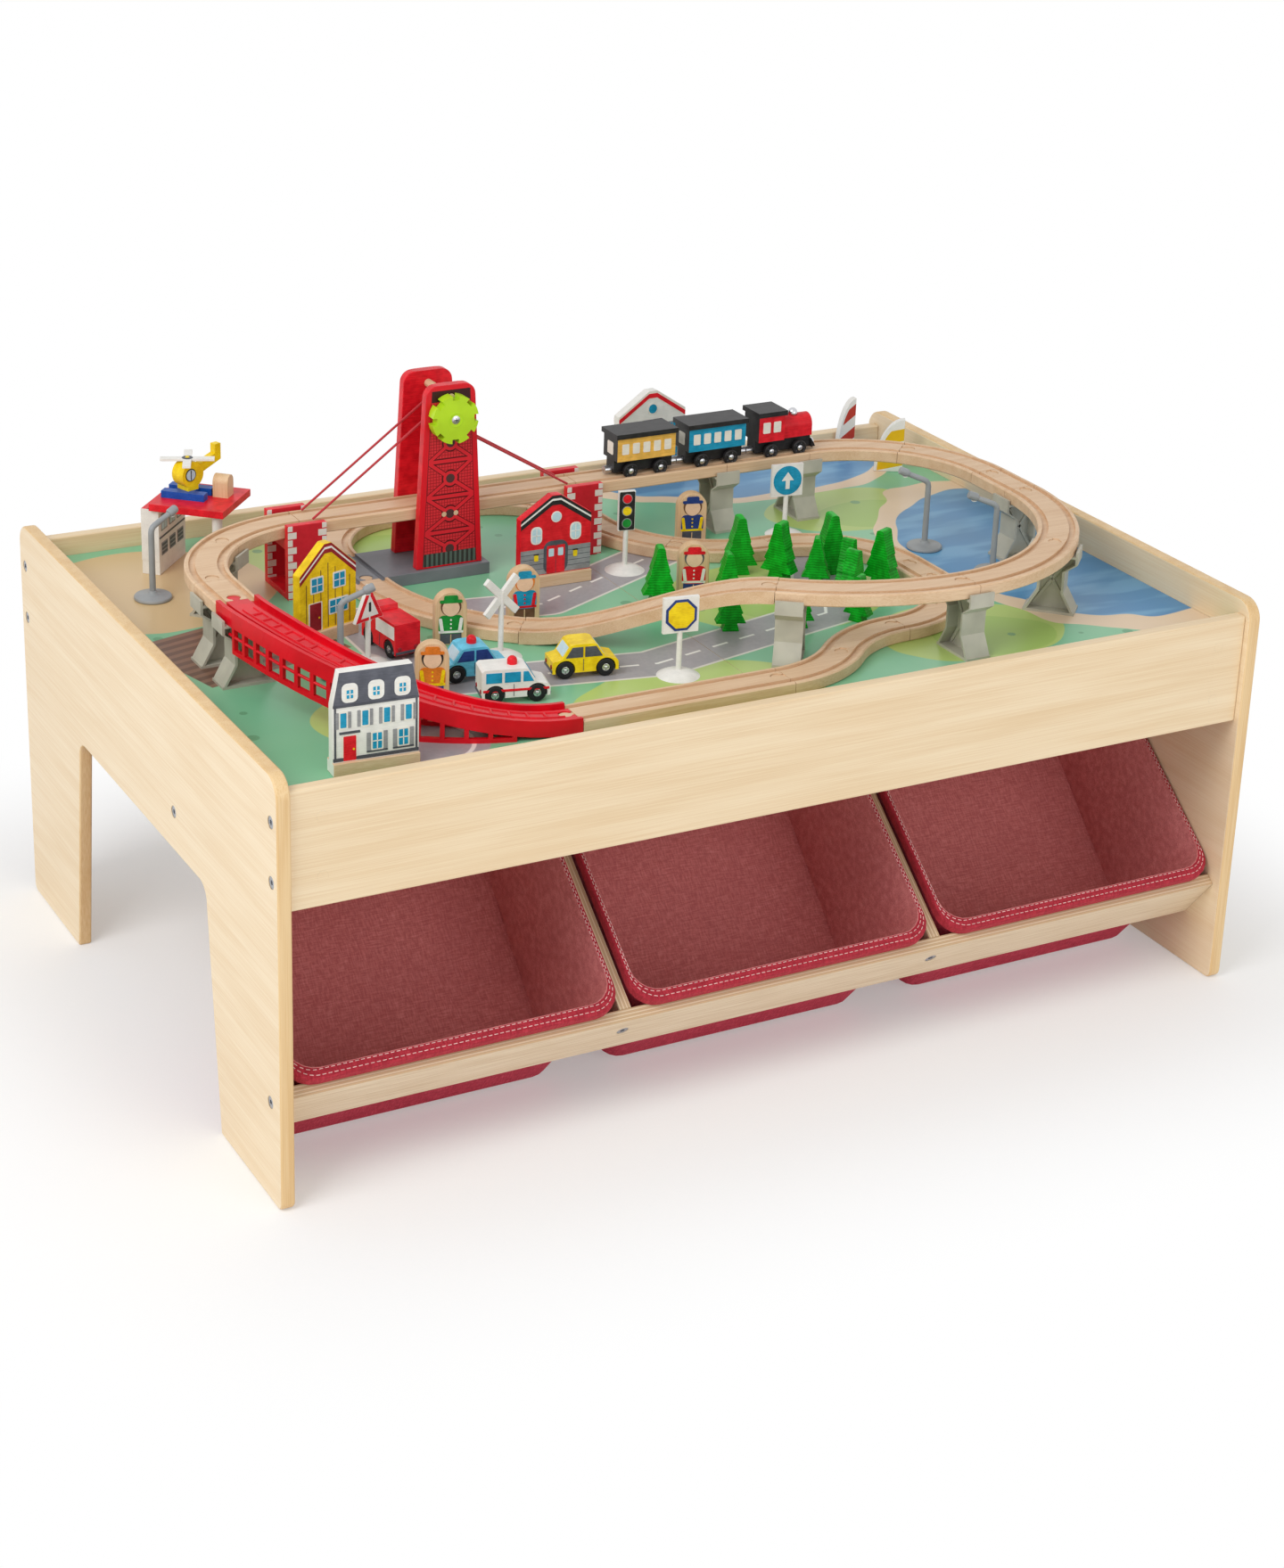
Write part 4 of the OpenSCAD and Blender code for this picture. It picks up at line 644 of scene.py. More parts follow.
# %% Roads, with dashes along the middle, and a round pad
road, dashes = None, None
for ends in ((-330, -118, -60, -168), (-60, -168, 150, -120), (150, -120, 240, 40), (240, 40, 90, 95),
             (90, 95, -90, 10), (-90, 10, -264, 40), (-264, 40, -268, -130)):
    away, run = from_road(*ends)
    dash = inside(away, 1.5) * ((run / 34) % 1 < 0.55)
    road = away if road is None else road & away
    dashes = dash if dashes is None else dashes | dash
tar = land.mix(land.noise(4), paint(154, 151, 156), paint(176, 172, 174))
pad = from_point(-330, -245)
scene_colour = land.over(
    scene_colour, (inside(road, 31), paint(226, 222, 212)), (inside(road, 28), tar), (dashes, paint(244, 242, 236)),
    (inside(pad, 58), tar), (inside(abs(pad - 44), 2), paint(236, 232, 224)))

# %% The print lies on the top face only; the cut edges and the underside are bare plywood
upward = land.node("ShaderNodeNewGeometry", {}, {}, out=1)
top_face = land.node("ShaderNodeSeparateXYZ", {}, {0: upward}, out=2) > 0.5
bare = land.mix(land.noise(1.1, (60, 1, 1), 3), paint(230, 210, 178), paint(210, 184, 148))
dust = land.noise(0.6)
land.wear(land.mix(top_face, bare, scene_colour), dust * 0.14 + 0.28, dust, 0.02)
for side in ("left", "right"):
    dress(f"play_board_{side}", land)
print("landscape print uses", len(land.tree.nodes), "nodes")

# %% [markdown]
# ## Cloth bins
# Each bin is a sewn bag with padded walls. It hangs by a bound hem on the two rails, its back wall swings
# forward and its walls draw in a little between their corners. One rounded outline is drawn on, level by
# level, up the depth of the bag, and at each level it is widened and leaned. The lining goes down again in the
# same way, a wall's thickness further in, and the hem covers the lip between them.

# %% Woven cloth
slope_up = (0, math.cos(rail_tilt), math.sin(rail_tilt))


def woven(name, main, dark, pale, heather):
    """Two sets of threads, under a millimetre apart, in yarns that are not all the same shade."""
    stuff = Finish(name, main, 0.85, {"Sheen Weight": 0.35, "Sheen Roughness": 0.5, "Sheen Tint": pale})
    climb = stuff.along(1) * slope_up[1] + stuff.along(2) * slope_up[2]
    depth = stuff.along(2) * slope_up[1] - stuff.along(1) * slope_up[2]
    warp = abs((stuff.along(0) + depth) / 0.9 % 1 - 0.5)
    weft = abs((climb + depth) / 0.9 % 1 - 0.5)
    yarn = stuff.noise(1.2, (9, 1, 1)) * 0.5 + stuff.noise(1.2, (1, 6, 6)) * 0.5
    crease_shade = stuff.noise(55)
    # Broad blotches are painted darker, as painted shade in the cloth's creases; the yarn noise is the yarns' own
    # uneven colour.
    shade = stuff.over(dark, (stuff.ease(yarn, 0.36, 0.64), main), (stuff.ease(yarn, 0.56, 0.72) * heather, pale),
                       (stuff.ease(crease_shade, 0.35, 0.75) * 0.22, dark))
    stuff.wear(shade, 0.95 - yarn * 0.2, warp + weft + yarn, 0.25)
    return stuff


bag_cloth = woven("raspberry_cloth", paint(198, 54, 78), paint(168, 32, 56), paint(226, 112, 130), 0.5)
lining = woven("rose_lining", paint(222, 136, 134), paint(196, 108, 110), paint(238, 172, 168), 0.4)
binding = woven("crimson_binding", paint(186, 40, 58), paint(154, 24, 42), paint(212, 92, 104), 0.25)
thread = painted("stitch_thread", paint(236, 190, 186), 0.7)

# %% One rounded outline, and its levels in the bag
bay_x = 328.667
bag_front, bag_back, bag_half = 14.0, 280.0, 156.3
front_depth, back_depth, rim_top = 135, 110, 12.3
cloth_inset, lining_inset, wall_thick = 0.6, 4.4, 4
frame_y, frame_z = -327.5, 101


def outline(bench, half, front, rear, corner):
    """Edges of a rounded rectangle, with its long sides divided so that they can bow."""
    middle, deep = (front + rear) / 2, rear - front
    before = set(bench.mesh.faces)
    made = bmesh.ops.create_grid(bench.mesh, x_segments=1, y_segments=1, size=0.5 * MM)["verts"]
    bmesh.ops.scale(bench.mesh, vec=(2 * half, deep, 1), verts=made)
    bmesh.ops.translate(bench.mesh, vec=(0, middle * MM, 0), verts=made)
    bmesh.ops.bevel(bench.mesh, geom=made, offset=corner * MM, offset_type="OFFSET", segments=5, profile=0.5,
                    affect="VERTICES", material=-1)
    sheet = next(face for face in bench.mesh.faces if face not in before)
    rim = list(sheet.edges)
    bmesh.ops.delete(bench.mesh, geom=[sheet], context="FACES_ONLY")
    long_sides = [edge for edge in rim if edge.calc_length() > 3 * corner * MM]
    cut = bmesh.ops.subdivide_edges(bench.mesh, edges=long_sides, cuts=14)["geom_inner"]
    inner = [edge for vert in only(VERT, cut) for edge in vert.link_edges]
    return once([edge for edge in rim if edge.is_valid] + inner)


def drawn_on(bench, rim, spots):
    """Extrudes a loop once; the fresh loop, its shares of the outline and the faces between."""
    made = bmesh.ops.extrude_edge_only(bench.mesh, edges=rim)["geom"]
    fresh = only(VERT, made)
    rim = [edge for edge in only(EDGE, made) if set(edge.verts) <= set(fresh)]
    spots = {vert: next(spots[edge.other_vert(vert)] for edge in vert.link_edges if edge.other_vert(vert) in spots)
             for vert in fresh}
    return rim, spots, only(FACE, made)


def drawn(bench, rim, spots, stations):
    """Draws a loop on from station to station; a station says where each share of the outline goes."""
    faces = []
    for number, station in enumerate(stations):
        if number:
            rim, spots, between = drawn_on(bench, rim, spots)
            faces += between
        for vert, (u, v) in spots.items():
            vert.co = station(u, v)
    return rim, faces


def shares(edges, half, front, rear):
    """Where each vertex of an outline lies, from -1 to 1 both ways."""
    middle, reach = (front + rear) / 2, (rear - front) / 2
    return {vert: (vert.co.x / MM / half, (vert.co.y / MM - middle) / reach) for edge in edges for vert in edge.verts}


def bag_station(inset, share, floor_up):
    """A level of the bag: shrunk by the inset, drawn in and sagging by the share of its depth."""
    front, rear = bag_front + inset + 2 * share, bag_back - inset - 45 * share
    half = bag_half - inset - 16 * share
    sag = 3.2 * math.sin(math.pi * share) + math.sin(3 * math.pi * share)

    def point(u, v):
        x, y = half * u, (front + rear) / 2 + (rear - front) / 2 * v
        if abs(u) > 0.99:
            x -= math.copysign(sag * (1 - v * v), u)
        elif abs(v) > 0.99:
            y -= math.copysign(sag * (1 - u * u), v)
        drop = (front_depth * (1 - v) + back_depth * (1 + v)) / 2 - floor_up + rim_top
        return Vector((x, y, rim_top - 0.6 - share * (drop - 0.6))) * MM
    return point


def floor_panel(bench, rim, lift):
    """A stiffened floor with a seam pressed in round it."""
    base = bmesh.ops.edgeloop_fill(bench.mesh, edges=rim)["faces"]
    seam = bmesh.ops.inset_region(bench.mesh, faces=base, thickness=7 * MM, depth=0.0, use_even_offset=True)["faces"]
    bmesh.ops.translate(bench.mesh, vec=(0, 0, lift * MM), verts=list(base[0].verts))
    return base + seam

# %% Where the stitches lie
def round_path(half, front, rear, corner, step):
    """Points in step along a rounded rectangle, each with its heading."""
    middle_x, middle_y = half - corner, (rear - front) / 2 - corner
    centre = (front + rear) / 2
    sides = [(2 * middle_x, (-middle_x, front), 0), (2 * middle_y, (half, centre - middle_y), 90),
             (2 * middle_x, (middle_x, rear), 180), (2 * middle_y, (-half, centre + middle_y), 270)]
    corners = [(middle_x, centre - middle_y), (middle_x, centre + middle_y), (-middle_x, centre + middle_y),
               (-middle_x, centre - middle_y)]
    for (length, (x, y), heading), (cx, cy) in zip(sides, corners):
        turn = math.radians(heading)
        for number in range(int(length // step)):
            run = (number + 0.5) * length / (length // step)
            yield x + run * math.cos(turn), y + run * math.sin(turn), heading
        bends = int(corner * math.pi / 2 // step)
        for number in range(bends):
            angle = heading - 90 + (number + 0.5) * 90 / bends
            yield cx + corner * math.cos(math.radians(angle)), cy + corner * math.sin(math.radians(angle)), angle + 90

# %% The bound hem
def hem_band(bench):
    """The bound hem: an outline drawn up, over and down again into a closed band, with its edges rolled."""
    def corner(half, front, rear, height):
        return lambda u, v: Vector((half * u, (front + rear) / 2 + (rear - front) / 2 * v, height)) * MM

    wide, narrow = (157.2, 7.3, 286.7), (151.6, 18.6, 275.4)
    rim = outline(bench, *wide, 25)
    first = [vert for edge in rim for vert in edge.verts]
    stations = [corner(*wide, 0.5), corner(*wide, rim_top), corner(*narrow, rim_top), corner(*narrow, 0.5),
                corner(*wide, 0.5)]
    last, faces = drawn(bench, rim, shares(rim, *wide), stations)
    verts = once(first + [vert for edge in last for vert in edge.verts])
    bmesh.ops.remove_doubles(bench.mesh, verts=verts, dist=1e-5)
    bmesh.ops.recalc_face_normals(bench.mesh, faces=faces)
    bench.keep(faces, binding)
    bench.ease(once(edge for face in faces for edge in face.edges if edge.calc_face_angle(0) > 1), 2.4, 3)

# %% The three bags
levels = [1, 0.96, 0.9, 0.8, 0.66, 0.52, 0.38, 0.25, 0.14, 0.06, 0]
for name, x in (("left", -bay_x), ("middle", 0), ("right", bay_x)):
    bag = Bench(f"{name}_bag")
    rim = outline(bag, bag_half, bag_front, bag_back, 25)
    outer_rim, outer = drawn(bag, rim, shares(rim, bag_half, bag_front, bag_back),
                             [bag_station(cloth_inset, level, 0) for level in levels])
    outer += floor_panel(bag, rim, 1.2)
    rim_spots = shares(outer_rim, bag_half - cloth_inset, bag_front + cloth_inset, bag_back - cloth_inset)
    inner_rim, spots = drawn_on(bag, outer_rim, rim_spots)[:2]
    low_rim = drawn(bag, inner_rim, spots,
                    [bag_station(lining_inset, level, wall_thick) for level in levels[::-1]])[0]
    floor_panel(bag, low_rim, 1.5)
    bag.keep(bag.mesh.faces, lining)
    bag.keep([face for face in outer if face.is_valid], bag_cloth)
    bmesh.ops.recalc_face_normals(bag.mesh, faces=bag.mesh.faces)
    hem_band(bag)
    for path in ((154.6, 11.2, 282.8, 25), (152.9, 16.4, 277.6, 22)):
        for sx, sy, heading in round_path(*path, 5.4):
            bag.block((3.4, 0.7, 0.5), thread, place(sx, sy, rim_top - 0.15, heading), 0)
    bmesh.ops.transform(bag.mesh, matrix=place(x, frame_y, frame_z, tip=tilt_degrees), verts=bag.mesh.verts)
    bag.done(f"bin_{name}_body", f"bin_{name}", slot="bin_cloth")

# %% [markdown]
# ## Railway
# Wooden track is milled from beech, with two grooves for the wheels, and its curves are cut from wide boards, so
# the grain runs straight through them. The curved ramp is one hollow moulding with truss sides, in two halves.
# The CAD shapes are right, so they get their finishes, the ramp gets ribs, and each pier a cross on its web.

# %% Track, ramps and piers
for node in ("raised_straights", "raised_curves", "wood_ramp", "ground_straights", "ground_curves"):
    dress(node, beech_x)
for node in ("red_ramp_upper", "red_ramp_lower"):
    dress(node, red_mould)
dress("track_piers", pier_mould)

# %% Ribs on the moulded ramp: two rails and rungs on its deck, and a rail along each truss
ramp_radius, ramp_middle_x, ramp_middle_y, ramp_rise = 222, -196, -42, 60
flat_share = 32 / (ramp_radius * math.pi / 2)
rail_apart, truss_apart = 5.4, 18.6


def on_ramp(share, across, height):
    """A point on the ramp: the share of its quarter turn, the place across and the height over the deck's foot."""
    bearing = math.radians(270 - 90 * share)
    climb = min(1, share / (1 - flat_share))
    return Vector((ramp_middle_x + (ramp_radius - across) * math.cos(bearing),
                   ramp_middle_y + (ramp_radius - across) * math.sin(bearing),
                   BOARD_TOP + ramp_rise * climb * climb * (3 - 2 * climb) + height))


ramp_ribs = Bench("ramp_ribs")
for first, last in ((0.03, 0.49), (0.51, 0.93)):
    shares_along = [first + (last - first) * step / 20 for step in range(21)]
    for across in (-rail_apart, rail_apart):
        ramp_ribs.rod([on_ramp(share, across, 12) for share in shares_along], 2.2, red_mould, sides=8)
    for step in range(1, 10):
        share = first + (last - first) * step / 10
        ramp_ribs.rod([on_ramp(share, across, 12) for across in (-rail_apart, rail_apart)], 2.8, red_mould, sides=8)
    high = [share for share in shares_along if on_ramp(share, 0, 0).z > 392]
    for across in (-truss_apart, truss_apart):
        if len(high) > 1:
            ramp_ribs.rod([on_ramp(share, across, -8) for share in high], 3, red_mould, sides=8)
ramp_ribs.done("table", slot="red_plastic")

# %% The crosses moulded on the piers
pier_places = ((-418, -2, 90), (-379.9, 103.9, 45), (-418, -56, 90), (176.2, 142, 0), (275, 142, 0), (415, -57, -90),
               (356.7, -197.7, -135), (216, -256, -180), (55.4, -207.5, -216.6))
ribs = Bench("pier_cross_ribs")
for x, y, heading in pier_places:
    for side in (-1, 1):
        for lean in (-1, 1):
            bottom, top = (lean * 17, 5), (-lean * 13, 52)
            length = math.hypot(top[0] - bottom[0], top[1] - bottom[1])
            angle = math.degrees(math.atan2(top[0] - bottom[0], top[1] - bottom[1]))
            web = place(x, y, BOARD_TOP, heading + 90)
            ribs.block((3.2, 1.8, length), pier_mould, web @ place(bottom[0], side * 1.9, bottom[1], lean=angle), 0.4)
ribs.done("table", slot="pier_plastic")

# %% [markdown]
# ## Lift bridge
# Two towers sawn from board stand on a plastic plate and carry the hinges, a winding spindle and a notched knob.
# Their faces are printed with plain steelwork: crossed braces, round plates and bands. The print is drawn from
# the tower's own outline, so that its margins follow the sloping sides.

# %% Printed steelwork
bridge_x, tower_foot, spindle_z, bay_height = -140, 378, 530, 36
steelwork = Finish("tower_print", paint(226, 20, 38), 0.36, SATIN)
tower_x, tower_z = steelwork.along(0) - bridge_x, steelwork.along(2) - tower_foot
inner_half = 29 - tower_z * (9 / 184)
bay = tower_z / bay_height % 1
brace = abs(abs(tower_x) / inner_half - abs(bay * 2 - 1))
girder = abs(bay - 0.5)
bay_z = (bay - 0.5) * bay_height
plate = (tower_x * tower_x + bay_z * bay_z) ** 0.5
lattice = (abs(tower_x / 3 % 1 - 0.5) > 0.41) | (abs(tower_z / 3 % 1 - 0.5) > 0.41)
footing = steelwork.mix(tower_x / 5 % 1 < 0.5, paint(38, 54, 50), paint(84, 106, 98))
steel_red = steelwork.over(
    steelwork.mix(lattice, paint(220, 44, 54), paint(150, 18, 30)),
    ((brace < 0.17) | (girder > 0.42) | (plate < 9), paint(76, 8, 16)),
    ((brace < 0.12) | (girder > 0.45) | (plate < 7.6), paint(226, 36, 50)),
    (plate < 4.6, paint(74, 50, 50)), (tower_z < 15, footing), (tower_z > 168, paint(40, 16, 20)))
margin = (abs(tower_x) > inner_half) | (tower_z > 179) | (tower_z < 2)
rim = abs(abs(tower_x) - inner_half) < 0.7
whole = steelwork.over(steel_red, (rim, paint(116, 18, 28)), (margin, paint(226, 20, 38)))
print_grain = steelwork.noise(0.9, (1, 1, 14))
steelwork.wear(steelwork.mix(print_grain * 0.14, whole, paint(140, 20, 30)), print_grain * 0.12 + 0.3,
               print_grain, 0.03)


def at_dowel(middle):
    return abs(middle.x / MM - bridge_x) < 12 and middle.z / MM > 420


for side in ("front", "back"):
    tower = Bench(f"tower_{side}_board").copy(f"bridge_tower_{side}", red, 0.9, spare=at_dowel)
    outward = -1 if side == "front" else 1
    tower.keep([face for face in tower.mesh.faces if face.normal.y * outward > 0.9], steelwork)
    tower.done("table", f"bridge_tower_{side}", slot="tower_paint")

# %% Supports with pale brick edges
bricks = Finish("support_bricks", paint(206, 30, 46), 0.36, {**SATIN, "Coat Roughness": 0.25})
course = bricks.along(2) / 7.5
edge_run = 20 - abs(abs(bricks.along(0) - bridge_x) - 148)
stepped = (course % 2 > 1) * 4 + 5
pale_brick = (edge_run < stepped) * (abs(course % 1 - 0.5) < 0.43)
brick_cloud = bricks.noise(5)
bricks.wear(bricks.mix(pale_brick, bricks.mix(brick_cloud, paint(188, 26, 40), paint(212, 34, 50)),
                       bricks.mix(brick_cloud, paint(236, 228, 220), paint(214, 204, 196))),
            brick_cloud * 0.1 + 0.32, brick_cloud, 0.03)
stands = Bench("bridge_stands").copy("bridge_supports", red, 0.7)
stands.keep([face for face in stands.mesh.faces if abs(face.normal.y) > 0.9], bricks)
stands.done("table", "bridge_supports", slot="red_paint")

# %% Base plate, leaves, dowels and spindle
plate_piece = Bench("bridge_plate").copy("bridge_base", grey_mould, 0.5)
plate_piece.done("table", "bridge_base", slot="grey_base")
for node, finish in (("bridge_leaf_left", beech_x), ("bridge_leaf_right", beech_x), ("bridge_dowels", beech_y),
                     ("winder_spindle", beech_y)):
    dress(node, finish)

# %% Knob with its screw
knob = Bench("winding_knob").copy("winder_knob", lime_mould, 0.8)
facing_front = place(bridge_x, 99.2, spindle_z, tip=90)
knob.turned(((0, 0.9), (2.6, 0.7), (4.2, 0.1), (4.2, -0.6), (0, -0.6)), steel, facing_front)
# A raised dark grey cross on the steel screw head is painted shade, standing for its cross recess.
for turn in (0, 90):
    knob.block((4.2, 0.8, 0.5), dark_grey, facing_front @ place(0, 0, 0.55, turn), 0)
knob.turned(((6.5, -0.4), (6.5, 0.35), (7.4, 0.35), (7.4, -0.4)), lime_mould, facing_front)
knob.done("winder", "winder_knob", slot="lime_plastic")

# %% [markdown]
# ## Bridge cords
# A red cord runs from the spindle to each corner of the two leaves, and the spare turns lie on the spindle. A
# cord under load is straight, so each one is a rod between two points with a twist in its finish.

# %% Twisted cord
cord_finish = Finish("red_cord", paint(196, 28, 40), 0.7, {"Sheen Weight": 0.3})
lay = abs((cord_finish.along(0) + cord_finish.along(2) + cord_finish.along(1) * 1.5) / 1.6 % 1 - 0.5)
fuzz = cord_finish.noise(0.3)
# The grooves between the strands are painted darker and their crowns lighter, as painted shade; the same lay gives
# the relief.
strand_shading = cord_finish.ease(lay + fuzz * 0.2, 0.1, 0.5)
cord_finish.wear(cord_finish.mix(strand_shading, paint(150, 18, 30), paint(208, 44, 54)), fuzz * 0.2 + 0.6, lay, 0.2)

# %% Cords from the spindle to the leaves
spindle, wound_radius, leaf_rise = Vector((bridge_x, 0, spindle_z)), 7.6, math.radians(50)
cord_rows = (128, 156)
for name, side, joint in (("left", -1, "leaf_left_lift"), ("right", 1, "leaf_right_lift")):
    low_end = Vector((bridge_x + side * 136, 0, 439.2))
    away = low_end - spindle
    swing = math.acos(wound_radius / away.length)
    bearing = math.atan2(away.z, away.x) - swing
    start = spindle + wound_radius * Vector((math.cos(bearing), 0, math.sin(bearing)))
    cords = Bench(f"bridge_rope_{name}")
    for y in cord_rows:
        line = [point + Vector((0, y, 0)) for point in (start, start.lerp(low_end, 0.5), low_end)]
        cords.rod(line, 2.4, cord_finish, sides=10)
    piece = cords.done("table", f"bridge_cords_{name}", slot="red_cord")
    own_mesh(piece)

# %% Spare turns on the spindle
coil = Bench("spindle_coil")
coil_turns, coil_radius, coil_sides = 3, 6.2, 16
for y, way in zip(cord_rows, (1, -1)):
    angles = [number * math.tau / coil_sides for number in range(coil_turns * coil_sides + 1)]
    coil.rod([(bridge_x + coil_radius * math.cos(angle), y + way * (2.5 + 6.5 * angle / angles[-1]),
               spindle_z + coil_radius * math.sin(angle)) for angle in angles], 2.3, cord_finish, sides=8)
coil.done("winder", slot="red_cord")

# %% [markdown]
# ## Train
# An engine and two coaches are painted wooden blocks on black chassis, with magnet couplers and domed hub caps.
# The CAD bodies already have their holes and couplers, so they are copied, eased and painted by height. Windows
# and lamps are thin plates that stand half a millimetre proud, as thick paint on a stencil does.

# %% Bodies
train_y, floor_z, axle_z = 142, 441.3, 443.3
engine_x, blue_coach_x, yellow_coach_x = 248.5, 166.5, 84.5


def painted_by_height(bench, limits):
    """Finishes from the bottom up: each holds below its height in millimetres."""
    for face in bench.mesh.faces:
        face.material_index = bench.number(next(finish for limit, finish in limits if middle_of(face).z < limit))


def couplers(bench, x):
    """Bright tips: the low faces beyond the ends of a vehicle's block."""
    bench.keep([face for face in bench.mesh.faces
                if abs(middle_of(face).x - x) > 33.1 and middle_of(face).z < 448], steel)


for name, x, finish in (("blue_coach", blue_coach_x, blue), ("yellow_coach", yellow_coach_x, amber)):
    coach = Bench(f"{name}_body").copy(name, finish, 0.8)
    painted_by_height(coach, ((454.35, black), (478.25, finish), (600, black)))
    couplers(coach, x)
    for side in (0, 180):
        wall = place(x, train_y, 0, side) @ place(0, -15, 0)
        for step in range(5):
            coach.panel(7.8, 11, cream, wall @ place(-24 + 12 * step, 0, 467), 1, 0.45)
    for end in (90, -90):
        coach.panel(12, 13, cream, place(x, train_y, 0, end) @ place(0, -33, 466), 1.6, 0.5)
    coach.done(f"{name}_body", name, slot="blue_paint" if name == "blue_coach" else "yellow_paint")

# %% Engine
engine = Bench("engine_block").copy("engine", red, 0.8)
painted_by_height(engine, ((454.35, black), (481.2, red), (600, black)))
couplers(engine, engine_x)
dome_spot = Vector((engine_x + 15.18, train_y, 476.3))
engine.keep([face for face in engine.mesh.faces
             if (middle_of(face) - dome_spot).length < 5.3 and middle_of(face).z > 476.4], steel)
engine.turned(((0, 7.4), (2.4, 6.9), (4.3, 5.2), (5.1, 2.6), (5.1, 0), (0, 0)), steel,
              place(engine_x + 15.2, train_y, 475.2))
for side in (0, 180):
    wall = place(engine_x, train_y, 0, side) @ place(0, -15, 0)
    cab_middle = -17.8 if side == 0 else 17.8
    for step in (-6.2, 6.2):
        engine.panel(8.6, 11.6, cream, wall @ place(cab_middle + step, 0, 469.5), 1, 0.45)
nose = place(engine_x + 33, train_y, 465.3, 90)
engine.disc(9.4, black, nose, 32, 0.7)
engine.disc(7.6, red, nose, 32, 1.0)
engine.turned(((0, 2.6), (1.6, 2.4), (2.8, 1.5), (3.0, 0.4), (3.0, 0), (0, 0)), steel, nose @ place(tip=90))
engine.sawn(((33, 0), (38.6, 0), (36.4, 4), (33, 9.5)), 22, black, place(engine_x, train_y, floor_z), 0.6)
engine.done("engine_body", "engine", slot="red_paint")

# %% Wheelsets of the train
def wheelset(name, here, out, rim, rim_finish, cap, bolts, bolt, bolt_out, half_axle):
    """Two wheels on a steel axle: a turned rim, a domed cap and a ring of small bolts on each."""
    axle = Bench(f"{name}_axle")
    for side in (0, 180):
        hub = here @ place(turn=side) @ place(0, -out, 0, tip=90)
        axle.turned(rim, rim_finish, hub)
        axle.turned(cap, steel, hub, 20)
        for number in range(bolts):
            axle.turned(bolt, dark_grey, hub @ place(turn=360 / bolts * number) @ place(bolt_out), 8)
    axle.rod([here @ (Vector((0, side, 0)) * MM) / MM for side in (-half_axle, half_axle)], 3, steel)
    axle.done(f"{name}_wheels_body", f"{name}_wheels", slot="black_plastic")


train_rim = ((1.2, -2.5), (6.8, -2.5), (7.6, -2.1), (8, -1.4), (8, 1.5), (7.6, 2.2), (6.6, 2.5), (6.1, 1.9),
             (3.6, 1.9), (3.4, 2.4), (0, 2.4))
train_cap = ((0, 3.1), (1.6, 2.95), (2.8, 2.5), (3.3, 1.9), (3.3, 1.7), (0, 1.7))
train_bolt = ((0, 2.15), (0.7, 2.05), (0.8, 1.8), (0, 1.8))
for vehicle, x in (("engine", engine_x), ("blue_coach", blue_coach_x), ("yellow_coach", yellow_coach_x)):
    for end, shift in (("front", 17), ("rear", -17)):
        wheelset(f"{vehicle}_{end}", place(x + shift, train_y, axle_z), 13, train_rim, black, train_cap,
                 5, train_bolt, 4.9, 12)

# %% [markdown]
# ## Road toys
# The cars are sawn from a side outline and painted, and their wheels turn on steel axles. Their windows follow
# the slope of the screens. The CAD outlines are copied and eased, painted by the place they stand in, and then
# get glass, lamps and bumpers.

# %% Car bodies
railway_l, railway_w = 833, 587.5
car_l, car_side, car_roof = 62, 13.1, 33


def on_board(share_x, share_y, heading):
    """A toy's place, from shares of the length and width that the railway takes up."""
    return share_x * railway_l, share_y * railway_w, heading


car_places = {"blue_car": on_board(-0.274, -0.218, -6), "white_van": on_board(-0.260, -0.319, -13),
              "yellow_cab": on_board(-0.161, -0.272, -11), "truck": on_board(-0.322, -0.065, 96)}
car_paint = {"blue_car": sky, "white_van": white, "yellow_cab": yellow, "truck": red}
cars = Bench("road_car_bodies").copy("road_cars", sky, 0.9)
for island in cars.islands():
    name = nearest(island, car_places)
    cars.keep(island, car_paint[name])
    if name in ("blue_car", "white_van"):
        cars.keep([face for face in island if middle_of(face).z > BOARD_TOP + car_roof + 0.3], red)

# %% Windows, lamps and bumpers of the cars
def on_car(name, x=0, y=0, z=0, lean=0):
    """A place on a car, from its middle at the height of the board."""
    car_x, car_y, heading = car_places[name]
    return place(car_x, car_y, BOARD_TOP, heading) @ place(x, y, z, lean=lean)


def slab(name, outline_shares, finish):
    """A plate on both sides of a car, from shares of its length and roof height."""
    outline_mm = [(car_l * (a - 0.5), car_roof * b) for a, b in outline_shares]
    for side in (-car_side, car_side):
        cars.sawn(outline_mm, 0.7, finish, on_car(name, y=side), 0.2, 1)


def box_shares(left, right, bottom, top):
    return (left, bottom), (right, bottom), (right, top), (left, top)


def screen(name, foot, lean, height, finish=glass):
    """A slanted window across a car, from the shares where its foot stands."""
    where = on_car(name, car_l * (foot[0] - 0.5), 0, car_roof * foot[1], lean) @ place(0, 0, 2.2)
    cars.block((1.0, 20, height), finish, where, 0.3, 1)


for name, panes in (("blue_car", navy), ("yellow_cab", dark_grey)):
    slab(name, ((0.195, 0.62), (0.455, 0.62), (0.455, 0.92), (0.295, 0.92)), panes)
    slab(name, ((0.485, 0.62), (0.755, 0.62), (0.655, 0.92), (0.485, 0.92)), panes)
    screen(name, (0.80, 0.58), -32.7, 10.4)
    screen(name, (0.14, 0.58), 32.7, 10.4)
for window in (box_shares(0.06, 0.29, 0.62, 0.91), box_shares(0.33, 0.56, 0.62, 0.91),
               ((0.60, 0.62), (0.755, 0.62), (0.67, 0.91), (0.60, 0.91))):
    slab("white_van", window, blue)
slab("white_van", box_shares(0.02, 0.98, 0.36, 0.43), red)
screen("white_van", (0.80, 0.60), -32, 10, blue)
slab("truck", ((0.70, 0.78), (0.93, 0.78), (0.885, 1.12), (0.70, 1.12)), glass)
slab("truck", box_shares(0.03, 0.57, 0.62, 1.0), white)
